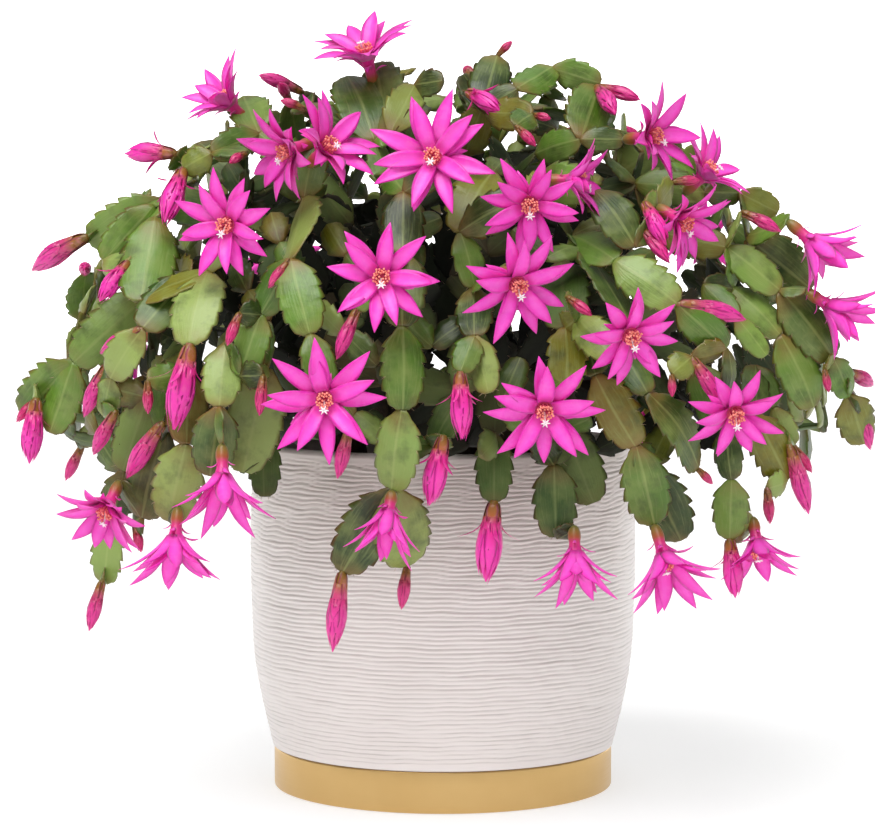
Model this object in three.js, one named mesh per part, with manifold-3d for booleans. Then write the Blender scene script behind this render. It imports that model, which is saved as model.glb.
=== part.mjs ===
// A potted Easter cactus: a ribbed ceramic planter in a brass base, filled with potting mix, and a
// spreading plant whose flat jointed stems arch out of the crown and carry flowers and buds.
// Millimetres, +Z up, origin at the bottom centre of the brass base, front towards -Y.
import * as THREE from "three";
import { mergeVertices } from "three/addons/utils/BufferGeometryUtils.js";
import Module from "manifold-3d";

// ---- Driving dimensions ----
const GAP = 0.3; // clear space kept between pieces that touch
const BASE = { radius: 93.2, height: 22, wall: 1.2, floor: 1.5, bevel: 0.8, sides: 40 };
const PLANTER = { height: 190, wall: 7, floor: 8, lip: 2, steps: 6, sides: 40 };
const BARREL = [ // radius and height of the planter's outside
  [94, 22.6], [99.8, 47], [103.7, 69], [105.3, 95], [106, 125], [105.5, 160], [104.5, 188],
];
const SOIL = { top: 177, mound: 5 };
const CROWN = { near: 22, spread: 0.24, depth: 6 }; // where the stems come out of the soil
const DOME = { centre: [0, 0, 205], radii: [236, 205, 196] }; // the plant's overall outline
const SEGMENT = {
  length: 44, slimness: 0.6, least: 15, most: 29, thickness: 4, waist: 0.36, waistThickness: 2.4,
};
const TRUNK = { width: 14, thickness: 9 }; // the old woody segment at the foot of each stem
const BUD = { slimness: 0.3, extra: 2 };
const FLOWER = { petals: 10, tube: 0.36, neck: 3, throat: 5.5, depth: 3, stand: 0.8 };
const REACH = 46; // the usual gap that one new segment bridges
const ROOTED = 5; // how far inside what it grows on a run or a bud starts
const SNAP = 8; // a growing point nearer than this to a joint starts at the joint
const COVERED = 30; // a growing point nearer than this to a joint is already covered

// ---- Hand-placed stems of the front: chains of points where segments join, in millimetres ----
// The first chain of a stem comes out of the soil; the others fork from the nearest joint of the stem.
const FRONT_STEMS = [
  [[[-35, -110, 350], [-50, -75, 385]], [[-27, -112, 355], [-35, -70, 392]],
    [[-35, -108, 352], [-70, -90, 370]], [[-27, -114, 357], [-15, -90, 380], [0, -100, 382]]],
  [[[-70, -100, 335], [-95, -95, 355], [-135, -85, 340]], [[-95, -95, 355], [-105, -60, 375]],
    [[-95, -95, 355], [-118, -112, 345], [-133, -108, 337]]],
  [[[-110, -95, 315], [-145, -85, 320], [-185, -80, 300]], [[-148, -105, 312], [-152, -140, 270]],
    [[-150, -92, 318], [-175, -100, 290]], [[-118, -140, 285], [-125, -170, 250]]],
  [[[-115, -70, 280], [-150, -85, 275], [-192, -90, 237], [-222, -65, 208]],
    [[-192, -90, 237], [-205, -85, 200]],
    [[-128, -130, 283], [-150, -152, 257], [-167, -142, 232], [-172, -128, 212]]],
  [[[-140, -130, 240], [-140, -140, 205], [-153, -128, 160]],
    [[-152, -108, 220], [-165, -105, 182], [-172, -98, 153], [-177, -92, 122]],
    [[-128, -150, 235], [-128, -160, 200], [-138, -145, 160]]],
  [[[-70, -130, 322], [-75, -172, 292], [-65, -190, 256]],
    [[-75, -172, 292], [-90, -168, 265], [-100, -175, 235]], [[-88, -158, 238], [-100, -160, 186]],
    [[-90, -140, 205], [-90, -142, 172]], [[-108, -165, 250], [-110, -180, 220], [-116, -165, 185]]],
  [[[-28, -125, 335], [-20, -150, 325], [-20, -172, 295], [-20, -195, 260], [-20, -202, 220],
      [-25, -190, 180], [-50, -175, 138]],
    [[-25, -190, 180], [-18, -165, 140]]],
  [[[25, -130, 335], [8, -160, 305], [15, -165, 278], [15, -190, 255], [22, -198, 228]],
    [[15, -190, 255], [8, -200, 238]], [[14, -165, 262], [10, -165, 226], [-5, -170, 200]]],
  [[[22, -118, 262], [25, -145, 238], [25, -158, 205], [25, -168, 172]],
    [[55, -140, 222], [55, -160, 190], [56, -166, 154]], [[60, -150, 208], [75, -155, 170]]],
  [[[60, -120, 290], [60, -165, 258], [60, -182, 228]], [[66, -168, 263], [82, -188, 245]]],
  [[[70, -145, 262], [75, -172, 235], [95, -172, 200], [105, -160, 160]],
    [[85, -155, 250], [100, -175, 226], [126, -162, 188]], [[102, -160, 188], [120, -140, 150]]],
  [[[128, -130, 238], [142, -142, 207], [145, -145, 181], [145, -137, 150]],
    [[158, -125, 212], [176, -115, 178]], [[160, -105, 236], [170, -110, 215], [180, -105, 195]]],
  [[[110, -100, 305], [145, -108, 297], [172, -112, 275], [200, -108, 240], [210, -95, 220],
      [221, -75, 194]],
    [[148, -108, 276], [172, -114, 252], [190, -108, 215]],
    [[132, -125, 278], [147, -140, 262], [162, -142, 243]]],
  [[[48, -112, 332], [75, -140, 326], [95, -155, 298]],
    [[65, -122, 302], [85, -158, 291], [115, -172, 270], [140, -162, 248]],
    [[70, -135, 296], [90, -172, 262]]],
  [[[100, -80, 330], [135, -85, 325], [155, -75, 325], [175, -75, 315]],
    [[158, -85, 302], [192, -80, 275]]],
  [[[48, -85, 345], [70, -105, 352], [80, -75, 380]], [[70, -105, 352], [92, -105, 352]]],
  [[[12, -70, 345], [20, -95, 368], [28, -70, 396]],
    [[20, -95, 368], [38, -95, 378], [57, -70, 390], [82, -75, 382]],
    [[22, -105, 366], [45, -122, 364]]],
];

// ---- Hand-placed stems of the back: the angle of each from +X, and its height class ----
const BACK_STEMS = [
  [8, "low"], [30, "mid"], [52, "low"], [78, "high"], [100, "low"], [122, "mid"], [146, "low"],
];
const BACK_PATHS = { // distance from the axis and height of the points where segments join
  low: [[150, 262], [186, 238], [204, 200], [200, 158]],
  mid: [[105, 318], [148, 320], [186, 292]],
  high: [[45, 335], [66, 368], [88, 392]],
};

// ---- Open flowers: throat x, y, z, heading from -Y towards +X, rise, diameter, openness ----
const FLOWERS = [
  [-40, -85, 396, -30, 62, 58, 0.8], [-112, -82, 372, -60, 40, 44, 0.5],
  [-77, -150, 346, -50, -15, 50, 0.7], [-58, -158, 347, 40, 30, 50, 0.7],
  [-5, -172, 342, -10, 12, 62, 1], [-107, -162, 309, -20, -5, 53, 0.95], [-30, -208, 284, 0, 5, 56, 1],
  [42, -182, 319, 0, -15, 51, 1], [65, -150, 331, 75, 0, 42, 0.6], [35, -208, 281, 20, -20, 56, 1],
  [-57, -218, 226, 0, -5, 59, 1], [48, -215, 221, 5, -18, 56, 1], [90, -200, 256, 20, -20, 50, 1],
  [143, -178, 217, 10, -28, 50, 1], [118, -155, 311, 50, -25, 46, 0.7],
  [135, -100, 335, 60, 40, 46, 0.7], [103, -115, 357, 50, 5, 50, 0.75],
  [188, -115, 300, 75, -40, 46, 0.4], [197, -122, 267, 70, -32, 42, 0.35],
  [-170, -140, 166, -25, -45, 50, 0.7], [-134, -158, 152, -10, -68, 48, 0.4],
  [-108, -190, 186, 5, -68, 48, 0.4], [-31, -202, 166, -20, -62, 36, 0.12],
  [65, -176, 146, 5, -68, 43, 0.35], [107, -164, 143, 30, -60, 50, 0.4],
  [159, -136, 147, 15, -62, 42, 0.45], [150, 130, 300, 128, 10, 52, 0.95],
  [60, 195, 262, 163, -5, 54, 1], [-95, 178, 285, 200, 5, 52, 0.95], [-40, 110, 368, 190, 45, 54, 0.9],
  [-178, 96, 240, 235, -15, 50, 0.9], [120, 165, 190, 150, -50, 48, 0.6],
  [-60, 185, 170, 195, -60, 46, 0.4],
];

// ---- Buds and folded flowers: base point, tip point, width over length ----
const FOLDED = 0.36;
const BUDS = [
  [[-185, -90, 302], [-217, -62, 284]], [[-155, -140, 268], [-155, -146, 258]],
  [[-152, -152, 256], [-175, -138, 243]], [[-170, -135, 238], [-183, -125, 211]],
  [[-165, -140, 215], [-178, -128, 192]], [[-147, -160, 232], [-147, -160, 215]],
  [[-140, -155, 210], [-160, -138, 181]], [[-177, -100, 124], [-184, -102, 98]],
  [[-158, -122, 156], [-154, -128, 142]], [[-100, -120, 345], [-108, -130, 340]],
  [[-70, -115, 367], [-83, -115, 372]], [[-75, -178, 288], [-86, -182, 274]],
  [[-100, -175, 266], [-106, -182, 250]], [[-42, -187, 268], [-52, -195, 244]],
  [[-88, -185, 236], [-90, -188, 216]], [[-46, -190, 210], [-52, -185, 185]],
  [[-50, -172, 138], [-55, -172, 98]], [[-20, -163, 140], [-23, -165, 118]],
  [[28, -72, 396], [36, -72, 404]], [[45, -122, 364], [54, -130, 362]],
  [[36, -140, 358], [46, -148, 348]], [[80, -78, 382], [102, -90, 375]],
  [[80, -78, 380], [88, -108, 365]], [[115, -130, 330], [130, -125, 331]],
  [[98, -150, 308], [112, -162, 290]], [[115, -170, 276], [150, -158, 268]],
  [[152, -112, 315], [172, -118, 305]], [[60, -182, 274], [72, -190, 265]],
  [[122, -172, 244], [138, -170, 219]], [[112, -178, 236], [112, -182, 225]],
  [[180, -105, 200], [190, -108, 186]], [[177, -118, 196], [188, -112, 160]],
  [[210, -95, 232], [226, -72, 224]], [[195, -115, 235], [197, -118, 223]],
  [[217, -85, 215], [225, -72, 190]], [[165, -125, 175], [167, -122, 156]],
  [[120, -158, 188], [128, -156, 180]], [[-212, -75, 218], [-224, -78, 205]],
  [[0, -188, 206], [-7, -186, 172], FOLDED], [[25, -172, 174], [21, -172, 134], FOLDED],
  [[15, -200, 240], [16, -204, 208], FOLDED], [[-128, -168, 250], [-136, -170, 208], FOLDED],
  [[-212, -88, 218], [-216, -88, 184], FOLDED], [[-160, -122, 290], [-174, -130, 270], FOLDED],
  [[-132, -108, 343], [-140, -128, 316], FOLDED], [[-138, -95, 345], [-165, -80, 345], FOLDED],
  [[100, -150, 320], [110, -160, 299], FOLDED], [[12, -118, 376], [28, -135, 366], FOLDED],
  [[148, -136, 146], [151, -136, 116], FOLDED],
];

// ---- Plain vector sums on [x, y, z] ----
const add = (a, b, k = 1) => [a[0] + b[0] * k, a[1] + b[1] * k, a[2] + b[2] * k];
const dot = (a, b) => a[0] * b[0] + a[1] * b[1] + a[2] * b[2];
const cross = (a, b) => [a[1] * b[2] - a[2] * b[1], a[2] * b[0] - a[0] * b[2], a[0] * b[1] - a[1] * b[0]];
const size = (a) => Math.sqrt(dot(a, a));
const unit = (a) => add([0, 0, 0], a, 1 / Math.max(size(a), 1e-9));
const apart = (a, b) => size(add(a, b, -1));
const mix = (a, b, t) => add(add([0, 0, 0], a, 1 - t), b, t);
const radians = (degrees) => (degrees * Math.PI) / 180;

// A repeatable stream of numbers from 0 to 1.
function stream(seed) {
  let state = seed;
  return () => {
    state = (state * 16807) % 2147483647;
    return state / 2147483647;
  };
}

// The direction of a heading measured from -Y towards +X, and a rise above level.
function headed(heading, rise) {
  const h = radians(heading);
  const r = radians(rise);
  return [Math.sin(h) * Math.cos(r), -Math.cos(h) * Math.cos(r), Math.sin(r)];
}

// The way out of the plant at a point.
const outward = (p) => unit(add(p, DOME.centre, -1));

// ---- Growing the plant: every segment, flower and bud of the plant as plain records ----
class Plant {
  constructor() {
    this.random = stream(2027);
    this.segments = [];
    this.runs = [];
    this.joints = [];
    this.buds = [];
    this.flowers = FLOWERS.map(([x, y, z, heading, rise, across, open]) => {
      const axis = headed(heading, rise);
      return { axis, across, open, base: add([x, y, z], axis, -FLOWER.tube * across) };
    });
  }

  // One flat segment from a to b; its broad face looks towards `facing`, rolled about its length.
  segment(stem, a, b, facing, roll) {
    const along = unit(add(b, a, -1));
    let level = add(facing, along, -dot(facing, along));
    if (size(level) < 0.05) level = cross(along, [1, 0.3, 0]);
    level = unit(level);
    const r = radians(roll);
    const normal = unit(add(add([0, 0, 0], level, Math.cos(r)), cross(along, level), Math.sin(r)));
    const length = apart(a, b);
    const width = Math.min(SEGMENT.most, Math.max(SEGMENT.least, length * SEGMENT.slimness));
    return { stem, a, b, along, normal, side: cross(normal, along), length, width,
      thickness: SEGMENT.thickness, centre: mix(a, b, 0.5) };
  }

  // Whether a segment is clear of the other stems, and of the space in front of every flower.
  isClear(one) {
    const box = segmentSpace(one);
    for (const other of this.segments) {
      if (other.stem === one.stem) continue;
      if (apart(other.centre, one.centre) > (other.length + one.length) / 2 + 16) continue;
      if (boxesMeet(box, segmentSpace(other))) return false;
    }
    return this.flowers.every((flower) => !boxesMeet(box, flowerSpace(flower)));
  }

  // The segment from a to b at the first roll that is clear, or at its own roll if it is fixed.
  tried(stem, a, b, facing, roll, fixed) {
    for (const turn of [0, 25, -25, 50, -50, 75, -75]) {
      const one = this.segment(stem, a, b, facing, roll + turn);
      if (this.isClear(one)) return one;
    }
    return fixed ? this.segment(stem, a, b, facing, roll) : null;
  }

  // The joint that a new point grows from: the nearest one, rather inside the point than outside it.
  nearest(point, stem = -1) {
    let best = null;
    let least = Infinity;
    for (const joint of this.joints) {
      if (stem >= 0 && joint.stem !== stem) continue;
      const further = apart(joint.at, DOME.centre) - apart(point, DOME.centre);
      const cost = apart(joint.at, point) + 0.6 * Math.max(0, further);
      if (cost < least) {
        least = cost;
        best = joint;
      }
    }
    return best;
  }

  // A run of segments through a list of points; it is rooted at `foot`, inside what it grows on.
  run(stem, foot, points, facing, fixed, sway) {
    const grown = [];
    for (let i = 1; i < points.length; i++) {
      const look = facing || outward(mix(points[i - 1], points[i], 0.5));
      const roll = (this.random() - 0.5) * sway;
      const one = this.tried(stem, points[i - 1], points[i], look, roll, fixed);
      if (!one) return null;
      grown.push(one);
    }
    this.segments.push(...grown);
    this.runs.push({ stem, foot, segments: grown });
    for (const { b, along } of grown) this.joints.push({ stem, at: b, inside: add(b, along, -ROOTED) });
    return grown;
  }

  // The first chain of a stem: an arc out of the soil up to the chain's first point, then the chain.
  raise(stem, points, facing) {
    const first = points[0];
    const away = unit([first[0], first[1], 0]);
    const distance = size([first[0], first[1], 0]);
    const root = add([0, 0, SOIL.top - CROWN.depth], away, CROWN.near + distance * CROWN.spread);
    const heading = unit(add(points[1], first, -1));
    const span = apart(root, first);
    const lifted = add(root, [away[0] * 0.1, away[1] * 0.1, 0.5], span);
    const before = add(first, heading, -0.3 * span);
    const steps = Math.max(2, Math.round((span * 1.1) / SEGMENT.length));
    const arc = [root];
    for (let i = 1; i <= steps; i++) {
      const t = i / steps;
      const low = mix(mix(root, lifted, t), mix(lifted, before, t), t);
      const high = mix(mix(lifted, before, t), mix(before, first, t), t);
      arc.push(mix(low, high, t));
    }
    const hidden = this.run(stem, root, arc, null, true, 60);
    Object.assign(hidden[0], TRUNK);
    this.run(stem, this.joints.at(-1).inside, points, facing, true, 40);
  }

  // Segments from the nearest joint to a point, with a slight arch; returns the joint at the point.
  reach(point, fixed, stem = -1) {
    const from = this.nearest(point, stem);
    const distance = apart(from.at, point);
    if (distance < SNAP) return from;
    const steps = Math.max(1, Math.round(distance / REACH));
    if (!fixed && steps > 2) return null;
    const points = [from.at];
    for (let i = 1; i <= steps; i++) {
      const t = i / steps;
      points.push(add(mix(from.at, point, t), outward(point), 0.5 * distance * t * (1 - t)));
    }
    return this.run(from.stem, from.inside, points, null, fixed, 80) ? this.joints.at(-1) : null;
  }

  addBud({ stem, at, inside }, tip, slimness) {
    this.buds.push({ stem, base: at, inside, tip, slimness });
  }

  growFront() {
    const viewer = [0, -1, 0.2];
    FRONT_STEMS.forEach((chains, stem) => {
      this.raise(stem, chains[0], viewer);
      for (const points of chains.slice(1)) {
        const from = this.reach(points[0], true, stem);
        this.run(stem, from.inside, [from.at, ...points.slice(1)], viewer, true, 40);
      }
    });
  }

  growBack() {
    BACK_STEMS.forEach(([angle, height], i) => {
      const a = radians(angle);
      const points = BACK_PATHS[height].map(([r, z]) => [r * Math.cos(a), r * Math.sin(a), z]);
      this.raise(FRONT_STEMS.length + i, points, null);
    });
  }

  // Every flower and bud sits at the end of a segment.
  growEnds() {
    for (const flower of this.flowers) flower.base = this.reach(flower.base, true).at;
    for (const [base, tip, slimness] of BUDS) {
      const from = this.reach(base, true);
      this.addBud(from, add(from.at, add(tip, base, -1)), slimness || BUD.slimness);
    }
  }

  // Fills the dome: points spread evenly on one shell of it, each reached by a segment or two.
  fill(shell, count, lowest, keep) {
    for (let k = 0; k < count; k++) {
      const rise = lowest + (1 - lowest) * ((k + 0.5) / count);
      const level = Math.sqrt(Math.max(0, 1 - Math.max(0, rise) ** 2));
      const angle = k * 2.39996;
      const way = [Math.cos(angle) * level, Math.sin(angle) * level, rise];
      const point = DOME.centre.map((c, axis) => c + shell * DOME.radii[axis] * way[axis]);
      if (!keep(point)) continue;
      if (apart(this.nearest(point).at, point) < COVERED) continue;
      const end = this.reach(point, false);
      if (!end || shell < 0.9 || this.random() > 0.4) continue;
      const droop = unit(add(this.segments.at(-1).along, [0, 0, -0.6]));
      this.addBud(end, add(end.at, droop, 14 + 16 * this.random()), BUD.slimness);
    }
  }

  grow() {
    this.growFront();
    this.growBack();
    this.growEnds();
    this.fill(0.55, 40, 0.1, () => true);
    this.fill(0.78, 90, 0, () => true);
    this.fill(0.95, 170, -0.2, (p) => p[1] > 25 || (p[2] > 340 && p[1] > -60));
    return this;
  }
}

// The box that a segment fills.
function segmentSpace({ centre, along, side, normal, length, width, thickness }) {
  return { centre, axes: [along, side, normal], half: [length / 2, width * 0.45, thickness / 2] };
}

// The box in which nothing else may grow: a flower's cup and the space before it.
function flowerSpace({ base, axis, across }) {
  const side = unit(cross(axis, Math.abs(axis[2]) < 0.9 ? [0, 0, 1] : [1, 0, 0]));
  return { centre: add(base, axis, 0.36 * across + 14), axes: [axis, side, cross(axis, side)],
    half: [24, 0.36 * across, 0.36 * across] };
}

// Whether two boxes meet: no line between them separates their shadows.
function boxesMeet(one, two) {
  const between = add(two.centre, one.centre, -1);
  const lines = [...one.axes, ...two.axes];
  for (const u of one.axes) for (const v of two.axes) lines.push(cross(u, v));
  for (const line of lines) {
    if (size(line) < 1e-6) continue;
    let room = Math.abs(dot(between, line));
    for (let i = 0; i < 3; i++) {
      room -= one.half[i] * Math.abs(dot(one.axes[i], line));
      room -= two.half[i] * Math.abs(dot(two.axes[i], line));
    }
    if (room > 0) return false;
  }
  return true;
}

// ---- Solids ----
const wasm = await Module();
wasm.setup();

// A three.js geometry as a solid, for cutting and joining.
function toSolid(geometry) {
  const plain = geometry.clone();
  plain.deleteAttribute("normal");
  plain.deleteAttribute("uv");
  const merged = mergeVertices(plain, 1e-4);
  return new wasm.Manifold(
    new wasm.Mesh({
      numProp: 3,
      vertProperties: merged.attributes.position.array,
      triVerts: new Uint32Array(merged.index.array),
    }),
  );
}

// A solid as a three.js geometry.
function toGeometry(solid) {
  const mesh = solid.getMesh();
  const geometry = new THREE.BufferGeometry();
  geometry.setAttribute("position", new THREE.BufferAttribute(new Float32Array(mesh.vertProperties), 3));
  geometry.setIndex(new THREE.BufferAttribute(new Uint32Array(mesh.triVerts), 1));
  geometry.computeVertexNormals();
  return geometry;
}

// A closed geometry from points and faces given by point numbers.
function faceted(points, faces) {
  const geometry = new THREE.BufferGeometry();
  geometry.setAttribute("position", new THREE.Float32BufferAttribute(points.flat(), 3));
  geometry.setIndex(faces.flat());
  return geometry;
}

const largest = (solid) => solid.decompose().sort((p, q) => q.volume() - p.volume())[0];

// A turned solid from its profile, listed from the bottom on the axis outwards and up.
function turned(profile, sides) {
  const points = profile.map(([r, z]) => new THREE.Vector2(r, z));
  return new THREE.LatheGeometry(points, sides).rotateX(Math.PI / 2);
}

// The shallow brass dish that the planter stands in.
function baseGeometry() {
  const { radius, height, wall, floor, bevel, sides } = BASE;
  return turned([[0, 0], [radius - bevel, 0], [radius, bevel], [radius, height - bevel],
    [radius - bevel / 2, height], [radius - wall, height], [radius - wall, floor], [0, floor]], sides);
}

// The outside of the planter as radius and height, without its ribs.
function barrelProfile(points) {
  const curve = new THREE.SplineCurve(BARREL.map(([r, z]) => new THREE.Vector2(r, z)));
  return curve.getPoints(points).map((p) => [p.x, p.y]);
}

// The planter: a barrel-shaped shell with a floor, open at the top.
function planterGeometry() {
  const { height, wall, floor, lip, steps, sides } = PLANTER;
  const foot = BASE.radius - BASE.wall - GAP;
  const bottom = BASE.floor + GAP;
  const outside = barrelProfile(steps);
  const inside = outside.slice(1).reverse().map(([r, z]) => [r - wall, z]);
  return turned([[0, bottom], [foot, bottom], [foot, BASE.height + GAP], ...outside,
    [outside.at(-1)[0] - lip, height], [outside.at(-1)[0] - wall + lip, height], ...inside,
    [foot - wall, bottom + floor], [0, bottom + floor]], sides);
}

// The potting mix that fills the planter, slightly mounded; the stems' feet are cut out of it.
function soilSolid(stems) {
  const { top, mound } = SOIL;
  const { steps, sides } = PLANTER;
  const bottom = BASE.floor + 2 * GAP + PLANTER.floor;
  const foot = BASE.radius - BASE.wall - GAP - PLANTER.wall;
  const side = barrelProfile(steps).slice(1).filter(([, z]) => z < top - 6)
    .map(([r, z]) => [r - PLANTER.wall - 2 * GAP, z]);
  const edge = side.at(-1)[0];
  const plug = toSolid(turned([[0, bottom], [foot - 2 * GAP, bottom], ...side, [edge, top - mound],
    [edge * 0.5, top - mound * 0.2], [0, top]], sides));
  return largest(stems.reduce((left, stem) => left.subtract(stem), plug));
}

// A closed skin over rings of four points each, ending in one point at each end.
function loftGeometry(start, rings, end) {
  const points = [start, ...rings.flat(), end];
  const last = points.length - 1;
  const at = (r, i) => 1 + 4 * r + (i % 4);
  const faces = [];
  for (let i = 0; i < 4; i++) {
    faces.push([0, at(0, i + 1), at(0, i)]);
    for (let r = 0; r + 1 < rings.length; r++) {
      faces.push([at(r, i), at(r, i + 1), at(r + 1, i + 1)], [at(r, i), at(r + 1, i + 1), at(r + 1, i)]);
    }
    faces.push([at(rings.length - 1, i), at(rings.length - 1, i + 1), last]);
  }
  return faceted(points, faces);
}

// A ring of four points, turned so that it follows the ring before it with the least twist.
function ring(centre, side, normal, width, thickness, before) {
  const around = [add(centre, side, width / 2), add(centre, normal, thickness / 2),
    add(centre, side, -width / 2), add(centre, normal, -thickness / 2)];
  if (!before) return around;
  const middle = mix(before[0], before[2], 0.5);
  const twist = (shift) => around.reduce((sum, point, i) => {
    const arm = unit(add(around[(i + shift) % 4], centre, -1));
    return sum - dot(arm, unit(add(before[i], middle, -1)));
  }, 0);
  const shift = [0, 1, 2, 3].sort((p, q) => twist(p) - twist(q))[0];
  return around.map((point, i) => around[(i + shift) % 4]);
}

// A run of flat segments as one body: broad at the middle of each, narrow where two join.
function runGeometry({ foot, segments }, extra) {
  const grow = 2 * extra;
  const rings = [];
  segments.forEach(({ b, centre, side, normal, width, thickness }, i) => {
    rings.push(ring(centre, side, normal, width + grow, thickness + grow, rings.at(-1)));
    const next = segments[i + 1];
    if (!next) return;
    const waist = Math.min(width, next.width) * SEGMENT.waist;
    rings.push(ring(b, side, normal, waist + grow, SEGMENT.waistThickness + grow, rings.at(-1)));
  });
  const final = segments.at(-1);
  return loftGeometry(add(foot, segments[0].along, -extra), rings, add(final.b, final.along, 1 + extra));
}

// A bud or folded flower, spindle-shaped.
function budGeometry({ base, inside, tip, slimness }, extra) {
  const along = unit(add(tip, base, -1));
  const side = unit(cross(along, Math.abs(along[2]) < 0.9 ? [0, 0, 1] : [1, 0, 0]));
  const normal = cross(along, side);
  const width = apart(base, tip) * slimness + BUD.extra + 2 * extra;
  const low = ring(mix(base, tip, 0.15), side, normal, width * 0.75, width * 0.75);
  const high = ring(mix(base, tip, 0.65), side, normal, width, width);
  return loftGeometry(inside, [low, high], add(tip, along, extra));
}

// An open flower: a tube that widens into a star-shaped cup of pointed petals.
function flowerGeometry({ base, axis, across, open }, extra) {
  const { petals, tube, neck, throat, depth } = FLOWER;
  const side = unit(cross(axis, Math.abs(axis[2]) < 0.9 ? [0, 0, 1] : [1, 0, 0]));
  const other = cross(axis, side);
  const spread = radians(30 + 58 * open);
  const petal = (0.5 * across - throat) / Math.sin(spread);
  const at = (height, radius, turn) => {
    const rim = add(add([0, 0, 0], side, Math.cos(turn) * radius), other, Math.sin(turn) * radius);
    return add(add(base, axis, height + FLOWER.stand), rim);
  };
  const mouth = tube * across;
  const points = [at(-extra, 0, 0), at(mouth + depth + extra, 0, 0)];
  const step = (2 * Math.PI) / petals;
  const rings = [[0, neck + extra], [mouth - extra, throat + extra], [mouth + depth + extra, throat - 1]];
  for (const [height, radius] of rings) {
    for (let i = 0; i < petals; i++) points.push(at(height, radius, i * step));
  }
  for (let i = 0; i < 2 * petals; i++) {
    const reach = (i % 2 ? petal + extra : petal * 0.42 + extra);
    const height = mouth + depth / 2 + reach * Math.cos(spread);
    points.push(at(height, throat + reach * Math.sin(spread), (i / 2) * step));
  }
  const inner = (r, i) => 2 + r * petals + (i % petals);
  const star = (i) => 2 + 3 * petals + (i % (2 * petals));
  const faces = [];
  for (let i = 0; i < petals; i++) {
    faces.push([0, inner(0, i + 1), inner(0, i)]);
    faces.push([inner(0, i), inner(0, i + 1), inner(1, i + 1)]);
    faces.push([inner(0, i), inner(1, i + 1), inner(1, i)]);
    faces.push([inner(1, i), star(2 * i + 1), star(2 * i)]);
    faces.push([inner(1, i), inner(1, i + 1), star(2 * i + 1)]);
    faces.push([inner(1, i + 1), star(2 * i + 2), star(2 * i + 1)]);
    faces.push([inner(2, i), star(2 * i), star(2 * i + 1)]);
    faces.push([inner(2, i), star(2 * i + 1), inner(2, i + 1)]);
    faces.push([inner(2, i + 1), star(2 * i + 1), star(2 * i + 2)]);
    faces.push([inner(2, i), inner(2, i + 1), 1]);
  }
  return faceted(points, faces);
}

// ---- Materials ----
const coloured = (color, roughness, metalness) =>
  new THREE.MeshStandardMaterial({ color, roughness, metalness, flatShading: true });
const MATERIALS = {
  ceramic: () => coloured(0xdcd5d2, 0.4, 0),
  brass: () => coloured(0xc9a66b, 0.35, 0.9),
  soil: () => coloured(0x2e2119, 0.95, 0),
  stem: () => coloured(0x6f8a3c, 0.5, 0),
  flower: () => coloured(0xe62fb4, 0.45, 0),
};

// ---- Assembly ----
const named = (name, geometry, material) => {
  const mesh = new THREE.Mesh(geometry, MATERIALS[material]());
  mesh.name = name;
  return mesh;
};
const numbered = (word, index) => word + "_" + String(index + 1).padStart(2, "0");
const joined = (solids) => solids.reduce((whole, next) => whole.add(next));

// All segments and buds of one stem as one solid, grown by `extra` all round.
function stemSolid(plant, stem, extra) {
  const runs = plant.runs.filter((run) => run.stem === stem);
  const parts = runs.map((run) => toSolid(runGeometry(run, extra)));
  const ends = plant.buds.filter((b) => b.stem === stem).map((b) => toSolid(budGeometry(b, extra)));
  return joined([...parts, ...ends]);
}

function buildPlant(group) {
  const plant = new Plant().grow();
  const stemCount = FRONT_STEMS.length + BACK_STEMS.length;
  const kept = [];
  const stems = [];
  for (let stem = 0; stem < stemCount; stem++) {
    const whole = stemSolid(plant, stem, 0);
    stems.push(largest(kept.reduce((left, other) => left.subtract(other), whole)));
    kept.push(stemSolid(plant, stem, GAP));
  }
  stems.forEach((solid, i) => group.add(named(numbered("stem", i), toGeometry(solid), "stem")));
  const roots = [...kept];
  plant.flowers.forEach((flower, i) => {
    const whole = toSolid(flowerGeometry(flower, 0));
    const cut = largest(kept.reduce((left, other) => left.subtract(other), whole));
    group.add(named(numbered("flower", i), toGeometry(cut), "flower"));
    kept.push(toSolid(flowerGeometry(flower, GAP)));
  });
  return roots;
}

const pottedCactus = new THREE.Group();
const roots = buildPlant(pottedCactus);
pottedCactus.add(named("base_dish", baseGeometry(), "brass"));
pottedCactus.add(named("planter", planterGeometry(), "ceramic"));
pottedCactus.add(named("potting_mix", toGeometry(soilSolid(roots)), "soil"));

export default pottedCactus;
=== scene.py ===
# Looks of the potted Easter cactus: ribbed ceramic planter, brass base, potting mix, jointed stems,
# flowers and buds. The plant is grown here by the same rules and points as its solids, in
# millimetres, and turned into metres when a mesh is made. Front towards -Y.
import math

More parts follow.
